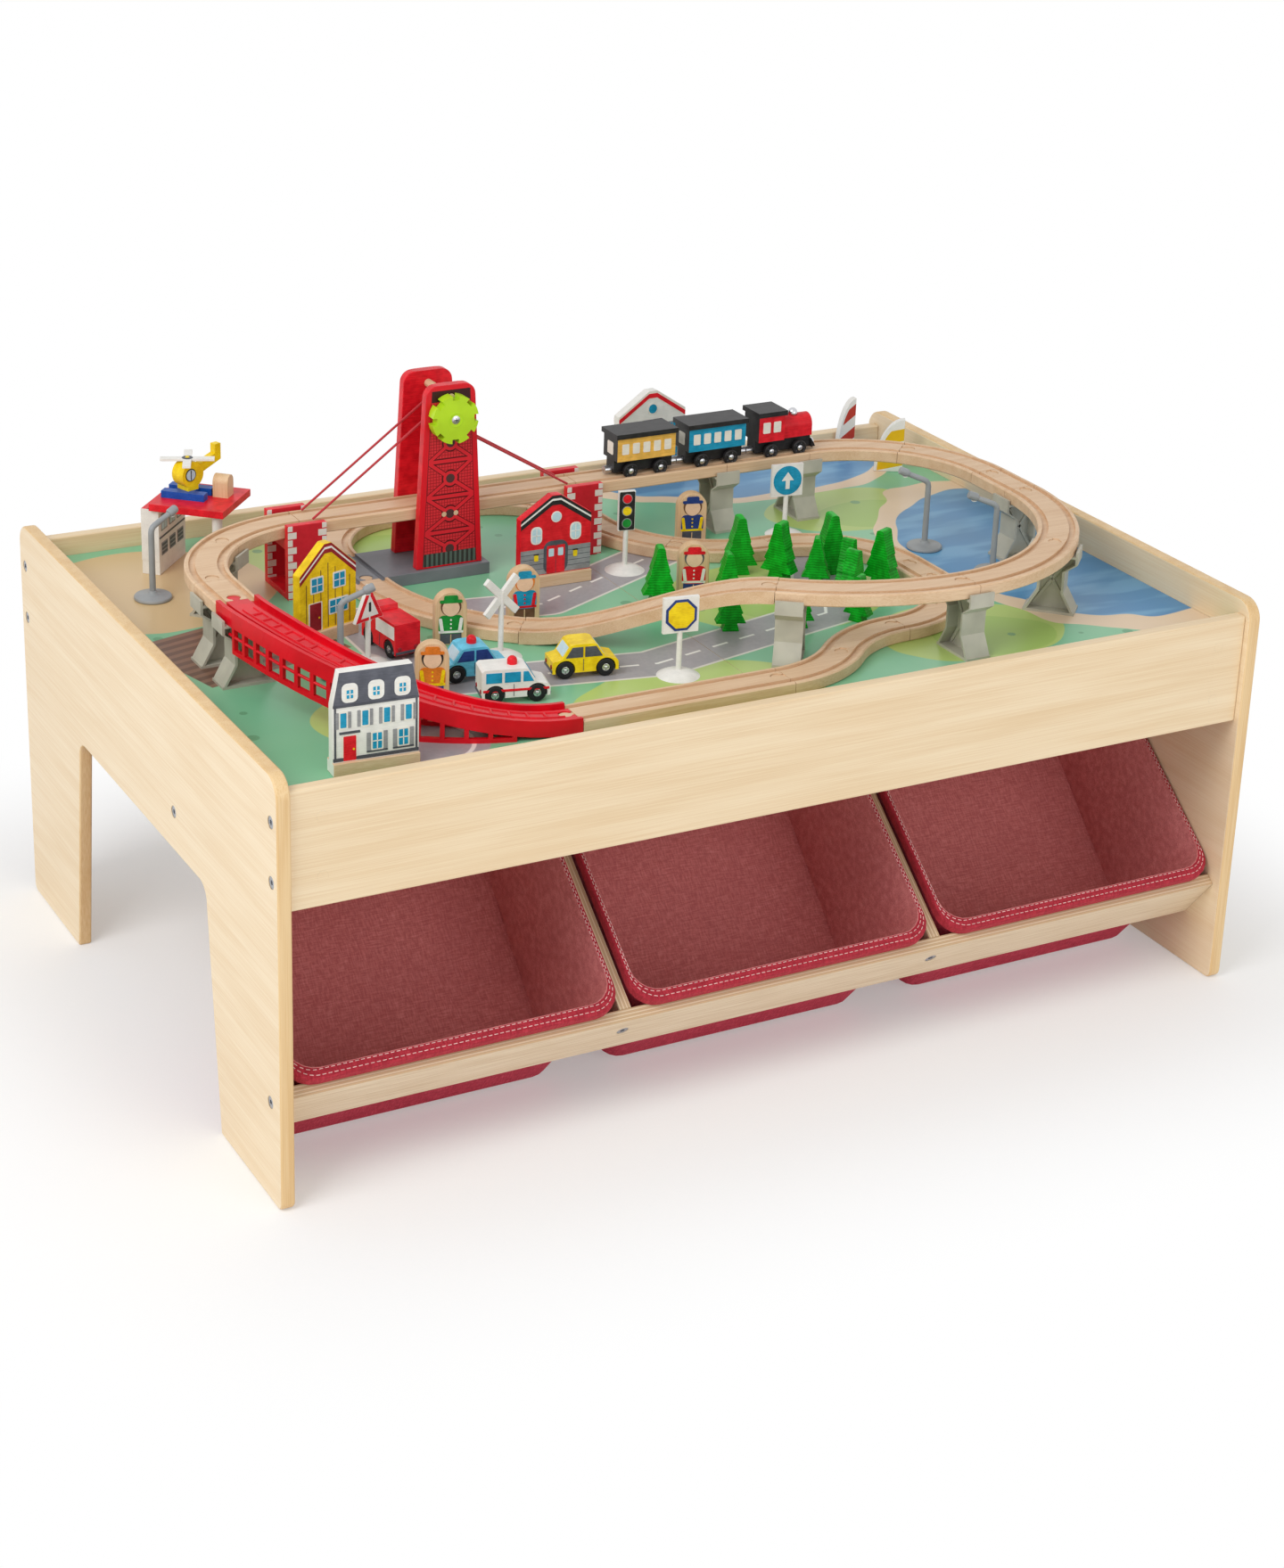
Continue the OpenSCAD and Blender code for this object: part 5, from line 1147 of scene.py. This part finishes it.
slab("truck", box_shares(0.03, 0.22, 0.20, 0.28), dark_grey)
screen("truck", (1, 0.70), -20.6, 12.5)
for name in car_places:
    for end, lamp in ((1, yellow if name != "yellow_cab" else white), (-1, maroon)):
        cars.block((1.0, 25, 2.6), dark_grey, on_car(name, end * 31.2, 0, 6.6), 0.3, 1)
        for side in (-8.5, 8.5):
            cars.turned(((0, 0.9), (1.5, 0.7), (2.2, 0.2), (2.2, -0.5), (0, -0.5)), lamp,
                        on_car(name, end * 31, side, 11.6, 90 * end), 14)
    slab(name, box_shares(0.46, 0.468, 0.22, 0.57), dark_grey)
cars.done("table", "road_cars", slot="car_paint")
print(len(car_places), "road toys at", [[round(v) for v in spot] for spot in car_places.values()])

# %% Wheels of the road toys
car_rim = ((1.2, -2.5), (7.3, -2.5), (8.1, -2.0), (8.5, -1.0), (8.5, 1.0), (8.1, 2.0), (7.2, 2.5), (4.3, 2.5),
           (4.0, 1.9), (0, 1.9))
car_cap = ((0, 2.5), (1.4, 2.45), (1.6, 2.2), (2.9, 2.3), (3.5, 2.1), (3.5, 1.7), (0, 1.7))
car_bolt = ((0, 2.6), (0.5, 2.5), (0.6, 2.2), (0, 2.2))
for name in car_places:
    for end, shift in (("front", 19), ("rear", -19)):
        wheelset(f"{name}_{end}", on_car(name, shift, 0, 8.8), 11, car_rim, tyre, car_cap, 4, car_bolt, 2.2, 11)

# %% Stand of the helicopter
stand_x, stand_y, stand_heading = on_board(-0.450, 0.415, -42)
stand_at = place(stand_x, stand_y, 0, stand_heading)
stand = Bench("landing_stand").copy("helicopter_stand", white, 0.8)
painted_by_height(stand, ((380.1, beech_x), (432.9, white), (440.1, red), (600, beech_z)))
for side in (0, 180):
    wall = stand_at @ place(-12, 6, 0, 90 + side) @ place(0, -9, 0)
    stand.panel(18, 52.6, white, stand_at @ place(-12, 6, 0, side) @ place(0, -32.8, 406.5), 0.6, 0.8)
    for column in (-20, 0, 20):
        stand.plates(wall, (column, 418, grey, 15, 17, 1, 0.4),
                     *((column + pane, 418, glass, 5.8, 14, 0.6, 0.6) for pane in (-3.6, 3.6)),
                     (column, 391, grey, 15, 13, 1, 0.4),
                     *((column, 391 + slat, dark_grey, 12.6, 2.4, 0.3, 0.55) for slat in (-4, 0, 4)))
    stand.plates(wall, (0, 403.5, dark_grey, 64, 1.6, 0.4, 0.5))
stand.done("table", "helicopter_stand", slot="beech")

# %% Helicopter and rotor
flyer = Bench("toy_helicopter").copy("helicopter", yellow, 0.8)
painted_by_height(flyer, ((447.1, royal), (600, yellow)))
for side in (0, 180):
    cabin = stand_at @ place(15, 5, 0, 62 + side) @ place(-3 if side == 0 else 3, -8, 463)
    flyer.disc(6.4, black, cabin, 24, 0.4)
    flyer.disc(5.4, glass, cabin, 24, 0.7)
    flyer.panel(0.9, 10, black, cabin, 0.2, 0.9)
flyer.done("table", "helicopter", slot="yellow_paint")
blades = Bench("rotor_blades").copy("helicopter_rotor", white, 0.5)
blades.turned(((2.3, 2.4), (3.4, 3.3), (5, 3.0), (5.5, 2.4)), dark_grey, stand_at @ place(15, 5, 475.8), 24)
blades.done("rotor", "helicopter_rotor", slot="white_plastic")

# %% [markdown]
# ## Houses
# The houses are flat boards on thick feet, printed on both faces: a roof band, windows, doors and lines. Their
# outlines come from the CAD model. The prints are thin plates, mirrored to the back by turning the place round,
# so that the toys look finished from every side.

# %% House boards and striped sails
houses = Bench("toy_house_boards").copy("toy_buildings", white, 0.7)
house_places = (on_board(-0.466, -0.469, -4), on_board(-0.3758, 0.0170, 16), on_board(-0.065, 0.097, -1),
                on_board(0.2137, 0.4953, 4))
house_sizes = ((76, 50, 30), (66, 57, 26), (76, 58, 22), (84, 68, 24))
ridges = (0.42, 0.06, 0.06, 0.06)
foot_h = 12
house_walls = (white, mustard, red, white)
sail_places = ((*on_board(0.5114, 0.5226, -2), 21), (*on_board(0.5138, 0.3950, -30), 31.2))


def striped(name, colour, number, band, slope):
    """Slanting stripes of paint on white, with a white margin along the curved edge of a sail 60 mm high."""
    stuff = Finish(name, colour, 0.4, {"Coat Weight": 0.06, "Specular IOR Level": 0.3})
    x, y, heading, width = sail_places[number]
    bearing = math.radians(heading)
    run = (stuff.along(0) - x) * math.cos(bearing) + (stuff.along(1) - y) * math.sin(bearing)
    rise = stuff.along(2) - BOARD_TOP
    curve = (1 - run / width) * (1 - run / width) + (rise / 60) * (rise / 60)
    stripe = ((rise - run * slope) / band % 2 < 1) * (curve < 0.8)
    cloud = stuff.noise(8)
    plain = stuff.mix(cloud, paint(240, 238, 234), paint(228, 225, 218))
    coat = stuff.mix(cloud, colour, tuple(v * 0.8 for v in colour))
    stuff.wear(stuff.mix(stripe, plain, coat), cloud * 0.1 + 0.34, cloud, 0.03)
    return stuff


sails = (striped("red_sail_stripes", paint(200, 62, 50), 0, 13, 0.7),
         striped("yellow_sail_stripes", paint(240, 192, 24), 1, 14, 0.25))
spots = dict(enumerate((*house_places, *((x + 12, y - 4) for x, y, heading, width in sail_places))))
for island in houses.islands():
    number = nearest(island, spots)
    houses.keep(island, (*house_walls, *sails)[number])
    if number < len(house_walls):
        houses.keep([face for face in island if middle_of(face).z < BOARD_TOP + foot_h + 0.05], beech_x)

# %% Roof bands, windows and doors
def eaves(number, margin, drop=0):
    """The upper edge of a house from eave to eave, a margin inside its sides and a drop under its ridge."""
    width, wall, rise = house_sizes[number]
    side, ridge = width / 2 - margin, ridges[number] * width
    low, high = foot_h + wall, foot_h + wall + rise - drop
    return (-side, low), (-ridge, high), (ridge, high), (side, low)


def roof_band(number, top, bottom):
    """A band along the sloping roof edges, between two depths below them."""
    edge = eaves(number, 0.4)
    return [(x, z - top) for x, z in edge] + [(x, z - bottom) for x, z in reversed(edge)]


def on_house(number, side):
    x, y, heading = house_places[number]
    return place(x, y, BOARD_TOP, heading + side) @ place(0, -5, 0)


def window(wall, x, z, width, height, border, pane, bars=1, corner=0.6):
    """A pane in a border, with upright bars and one bar across."""
    uprights = [x + width * ((bar + 1) / (bars + 1) - 0.5) for bar in range(bars)]
    houses.plates(wall, (x, z, border, width + 3, height + 3, corner + 0.8, 0.45),
                  (x, z, pane, width, height, corner, 0.7),
                  *((upright, z, border, 0.9, height, 0.1, 0.85) for upright in uprights))
    if bars:
        houses.plates(wall, (x, z, border, width, 0.9, 0.1, 0.85))


def door(wall, x, width, height, border, leaf):
    middle = foot_h + 0.5 + height / 2
    houses.plates(wall, (x, middle, border, width + 3, height + 1.5, 1.2, 0.45),
                  (x, middle, leaf, width, height, 0.8, 0.7))
    houses.disc(0.9, yellow, wall @ place(x + width * 0.3, 0, foot_h + height * 0.48), 10, 1.2)


def rosette(wall, z, outer, rim_paint, inner, pane):
    houses.disc(outer, rim_paint, wall @ place(0, 0, z), 24, 0.5)
    houses.disc(inner, pane, wall @ place(0, 0, z), 24, 0.8)


def bands(number, wall, *rows):
    for top, bottom, thick, finish in rows:
        houses.sawn(roof_band(number, top, bottom), thick, finish, wall, 0, 1)

# %% Prints on the four houses
for side in (0, 180):
    wall = on_house(0, side)
    roof_edge = eaves(0, 0.5, 0.5)
    houses.sawn([(roof_edge[0][0], 62), (roof_edge[-1][0], 62), *reversed(roof_edge)], 0.6, slate, wall, 0, 1)
    houses.plates(wall, (0, 61.5, dark_grey, 75, 1.8, 0.4, 0.8))
    for x in (-23, 0, 23):
        houses.plates(wall, (x, 73, white, 14, 17, 4.6, 0.8))
        window(wall @ place(0, -0.5, 0), x, 72, 5.6, 7.5, cream, blue, 1)
    for x in (-28.5, -9.5, 9.5, 28.5):
        window(wall, x, 49, 5.2, 13, cream, blue, 0)
        houses.plates(wall, *((x + shutter, 49, grey, 2.8, 14.5, 0.3, 0.6) for shutter in (-5.4, 5.4)))
    for x in (1, 24):
        window(wall, x, 27, 8, 14, cream, blue, 1)
        houses.plates(wall, *((x + shutter, 27, grey, 3.4, 16, 0.3, 0.6) for shutter in (-7.4, 7.4)),
                      (x, 18, dark_grey, 18.4, 1.4, 0.3, 0.8))
    door(wall, -23, 11, 22, cream, red)
    houses.plates(wall, (-23, 37.6, dark_grey, 18, 2, 0.4, 0.9), (-35.6, 37, dark_grey, 1.6, 48, 0.3, 0.5),
                  (35.6, 37, dark_grey, 1.6, 48, 0.3, 0.5), (0, 14, dark_grey, 75, 3, 0.4, 0.6))

    wall = on_house(1, side)
    for plank in range(-3, 4):
        height = 43 + 20 * (1 - abs(plank) / 3.6)
        houses.plates(wall, (plank * 8.4, 13 + height / 2, brown, 0.6, height, 0.1, 0.3))
    bands(1, wall, (0.4, 9.5, 0.6, maroon), (3.4, 5.4, 0.9, white))
    for x in (-13, 13):
        window(wall, x, 57, 12, 13, white, blue)
    window(wall, 12, 32, 20, 12, white, blue, 2)
    door(wall, -15, 13, 27, cream, maroon)

    wall = on_house(2, side)
    houses.plates(wall, (0, 25.6, grey, 75, 26, 0.4, 0.4),
                  *((0, 18.4 + 5.2 * row, dark_grey, 75, 0.5, 0.1, 0.5) for row in range(4)))
    bands(2, wall, (0.4, 10, 0.6, black), (3.4, 5.4, 0.9, white))
    for x in (-21, 21):
        window(wall, x, 53, 9, 15, white, glass, 1, 4.2)
        houses.plates(wall, (x, 30, yellow, 4.4, 6.4, 1.2, 0.9), (x, 33.8, black, 5.4, 1.2, 0.3, 1.1))
    houses.plates(wall, (0, 29.2, dark_grey, 26, 33, 8, 0.6))
    for x in (-5, 5):
        houses.plates(wall, (x, 27, red, 9.4, 28, 1, 0.85), (x, 34, glass, 5.6, 8, 0.8, 1.05))
    rosette(wall, 70, 5.6, white, 4.4, glass)

    wall = on_house(3, side)
    bands(3, wall, (0.4, 9, 0.6, cream), (3, 8, 0.9, red))
    rosette(wall, 84, 6.4, cream, 5, blue)
    for x in (-26, 26):
        for z in (58, 30):
            window(wall, x, z, 13, 15, grey, blue)
    houses.plates(wall, (0, 71, dark_grey, 24, 2.4, 0.4, 0.8))
    window(wall, 0, 58, 16, 15, grey, blue, 2)
    door(wall, 0, 15, 30, grey, blue)
    houses.plates(wall, (0, 14, red, 82, 2.6, 0.4, 0.6))
houses.done("table", "toy_buildings", slot="toy_print")

# %% [markdown]
# ## Signs, lamps, trees and figures
# Small scenery comes from the same saw. Signs are white posts on domed feet with a printed plate, lamps are bent
# from one tube, trees are slices of a ridged moulding, and the figures are round-topped pegs with painted clothes
# and plain heads.

# %% Road signs
signs = Bench("road_sign_boards").copy("road_signs", white, 0.4)
sign_places = (on_board(-0.068, -0.341, -8), on_board(0.274, 0.152, -8), on_board(-0.361, -0.104, 20),
               on_board(-0.221, -0.162, 10), on_board(0.033, 0.104, -10))
plate_z = 59
for side in (0, 180):
    fronts = [place(x, y, BOARD_TOP, heading + side) @ place(0, -2, 0) for x, y, heading in sign_places]
    signs.disc(16, navy, fronts[0] @ place(0, 0, plate_z), 8, 0.5)
    signs.disc(13.4, yellow, fronts[0] @ place(0, 0, plate_z), 8, 0.8)
    signs.disc(15.4, blue, fronts[1] @ place(0, 0, plate_z), 32, 0.5)
    signs.sawn(((-2.2, 50), (2.2, 50), (2.2, 59), (6.6, 59), (0, 68), (-6.6, 59), (-2.2, 59)), 0.6, white,
               fronts[1] @ place(0, -0.6, 0), 0, 1)
    signs.sawn(((-16.4, 42.4), (16.4, 42.4), (0, 75.2)), 0.7, red, fronts[2], 0, 1)
    signs.sawn(((-10.6, 45.6), (10.6, 45.6), (0, 66.8)), 1.1, white, fronts[2], 0, 1)
    signs.panel(2.6, 9, black, fronts[2] @ place(0, -0.4, 55), 0.6, 0.5)
    signs.panel(15.8, 39.4, black, fronts[4] @ place(0, 0, 62.4), 1.4, 0.5)
    for height, finish in ((75, red), (62.4, yellow), (49.8, green)):
        signs.disc(5.2, grey, fronts[4] @ place(0, 0, height), 24, 0.7)
        signs.disc(4.4, finish, fronts[4] @ place(0, 0, height), 24, 1.0)
signs.done("table", "road_signs", slot="white_plastic")

# %% Street lamps, bent from tube
lamps = Bench("street_lamp_tubes")
for x, y, heading in (on_board(-0.507, 0.289, 20), on_board(-0.4034, -0.1387, -10), on_board(0.408, -0.004, 160),
                      on_board(0.435, -0.155, 165)):
    here = place(x, y, BOARD_TOP, heading)
    lamps.turned(((0, 0), (17, 0), (18, 0.8), (18, 2.6), (17, 3.8), (8, 4.4), (5, 5.4), (4.2, 7.4), (3.4, 8.2),
                  (0, 8.2)), lamp_mould, here, 36)
    lamps.rod([(0, 0, 6), (0, 0, 40), (0, 0, 66), (0.6, 0, 69), (2.4, 0, 71.4), (5, 0, 72.9), (30, 0, 82.9)],
              [6.2, 5.9, 5.8, 5.8, 5.8, 5.7, 5.2], lamp_mould, here, 14)
    shade = here @ place(23, 0, 80.6, lean=68)
    lamps.turned(((0, -2), (3.4, -1.6), (4.1, 0), (4.1, 7), (3.4, 8.4), (0, 8.6)), lamp_mould, shade, 20)
    lamps.panel(4.4, 6.5, white, here @ place(25, 0, 77.4, tip=90), 1.4, 0.5)
lamps.done("table", "street_lamps", slot="lamp_grey")

# %% Pine trees, with ridges along their moulded sides
needles = Finish("tree_moulding", paint(6, 160, 28), 0.4, {"Coat Weight": 0.04, "Specular IOR Level": 0.2})
ridge = abs((needles.along(2) + needles.noise(5, detail=1) * 2) / 2.6 % 1 - 0.5)
leafy = needles.noise(6, (1, 1, 2), 3)
# The troughs between the ridges are painted darker and the crests lighter, as painted shade; the leafy noise is the
# moulding's own uneven green.
needles.wear(needles.mix(needles.ease(leafy * 0.7 + ridge * 0.5, 0.3, 0.75), paint(2, 132, 16), paint(10, 190, 40)),
             leafy * 0.15 + 0.34, ridge, 0.5)
trees = Bench("pine_tree_slices").copy("pine_trees", needles, 0.5)
trees.done("table", "pine_trees", slot="tree_green")

# %% Figures with painted clothes
figures = Bench("peg_figures").copy("toy_figures", beech_z, 0.8)
figure_places = (on_board(0.156, 0.190, -15), on_board(0.070, -0.035, -20), on_board(-0.147, -0.026, -10),
                 on_board(-0.255, -0.078, -15), on_board(-0.336, -0.262, -20))
outfits = ((navy, dark_grey, brown, yellow), (red, navy, dark_grey, white), (blue, brown, orange, red),
           (green, dark_grey, brown, white), (orange, navy, black, yellow))
for (x, y, heading), (coat, legs, hair, trim) in zip(figure_places, outfits):
    for side in (0, 180):
        front = place(x, y, BOARD_TOP, heading + side) @ place(0, -6, 0)
        figures.plates(front, (0, 7, legs, 20, 11, 1.4, 0.35), (0, 5.6, beech_z, 0.9, 10, 0.2, 0.5),
                       (0, 20.4, coat, 23, 18, 4.5, 0.45), (0, 13.2, trim, 23, 2.2, 0.6, 0.6))
        if side == 0:
            for button in (17, 21, 25):
                figures.disc(0.9, trim, front @ place(0, 0, button), 10, 0.8)
        for arm in (-1, 1):
            figures.panel(3.2, 14, trim, front @ place(arm * 9, 0, 20) @ place(lean=arm * 8), 1.4, 0.6)
        figures.disc(9.6, hair, front @ place(0, 0, 38), 28, 0.4)
        if side == 0:
            figures.disc(8, skin, front @ place(0, 0, 36.6), 28, 0.6)
        figures.plates(front, (0, 43, coat, 21, 3, 1.2, 0.8), (0, 46.2, coat, 13, 5.4, 2, 0.7))
figures.done("table", "toy_figures", slot="beech")

# %% [markdown]
# ## Studio
# The photograph has a white ground and soft light from all round, with the strongest from above on the left. A
# white dome gives the even part. One large soft lamp gives the forms their shading and a second one fills.
# The floor keeps the shadow that the table throws on it, and fades to plain white further out.

# %% Floor
ground = Bench("studio_floor")
bmesh.ops.create_grid(ground.mesh, x_segments=1, y_segments=1, size=30)
floor_finish = Finish("studio_floor", paint(250, 250, 250), 0.9)
table_half_l, table_half_w = 500, 337
beyond_x = (abs(floor_finish.along(0)) - table_half_l) | 0
beyond_y = (abs(floor_finish.along(1)) - table_half_w) | 0
sweep = (beyond_x * beyond_x + beyond_y * beyond_y) ** 0.5
glow = floor_finish.node("ShaderNodeEmission", {}, {"Color": (1.0, 1.0, 1.0), "Strength": 1.0})
plain_floor = Wire(floor_finish, floor_finish.shader.outputs[0])
fade = (floor_finish.ease(sweep, 10, 330) * 0.75 + 0.25) * floor_finish.seen()
faded = floor_finish.node("ShaderNodeMixShader", {}, {0: fade, 1: plain_floor, 2: glow})
floor_finish.set(floor_finish.tree.nodes["Material Output"], {"Surface": faded})
floor_grain = floor_finish.noise(2.5)
floor_finish.wear(floor_finish.mix(floor_grain, paint(251, 251, 251), paint(247, 247, 247)), None, floor_grain, 0.02)
ground.keep(ground.mesh.faces, floor_finish)
ground.done(None)

# %% World
world = bpy.data.worlds.new("white_dome")
bpy.context.scene.world = world
world.use_nodes = True
sky_nodes = Nodes(world.node_tree)
dome = world.node_tree.nodes["Background"]
sky_nodes.set(dome, {"Color": (1.0, 1.0, 1.0), "Strength": 0.62})
backdrop = sky_nodes.node("ShaderNodeBackground", {}, {"Color": (1.0, 1.0, 1.0), "Strength": 1.0})
chosen = sky_nodes.node("ShaderNodeMixShader", {},
                        {0: sky_nodes.seen(), 1: Wire(sky_nodes, dome.outputs[0]), 2: backdrop})
sky_nodes.set(world.node_tree.nodes["World Output"], {"Surface": chosen})

# %% Lamps
def soft_lamp(name, power, size, where, aim):
    lamp = bpy.data.lights.new(name, "AREA")
    lamp.energy, lamp.size = power, size
    holder = bpy.data.objects.new(name, lamp)
    holder.location = where
    holder.rotation_euler = (Vector(aim) - Vector(where)).to_track_quat("-Z", "Y").to_euler()
    bpy.context.scene.collection.objects.link(holder)


soft_lamp("key_lamp", 39, 1.6, (-2.1, -0.9, 2.3), (0, 0, 0.3))
soft_lamp("fill_lamp", 12, 1.6, (0.7, -2.6, 0.9), (0, -0.2, 0.2))
bpy.context.scene.view_settings.view_transform = "Standard"
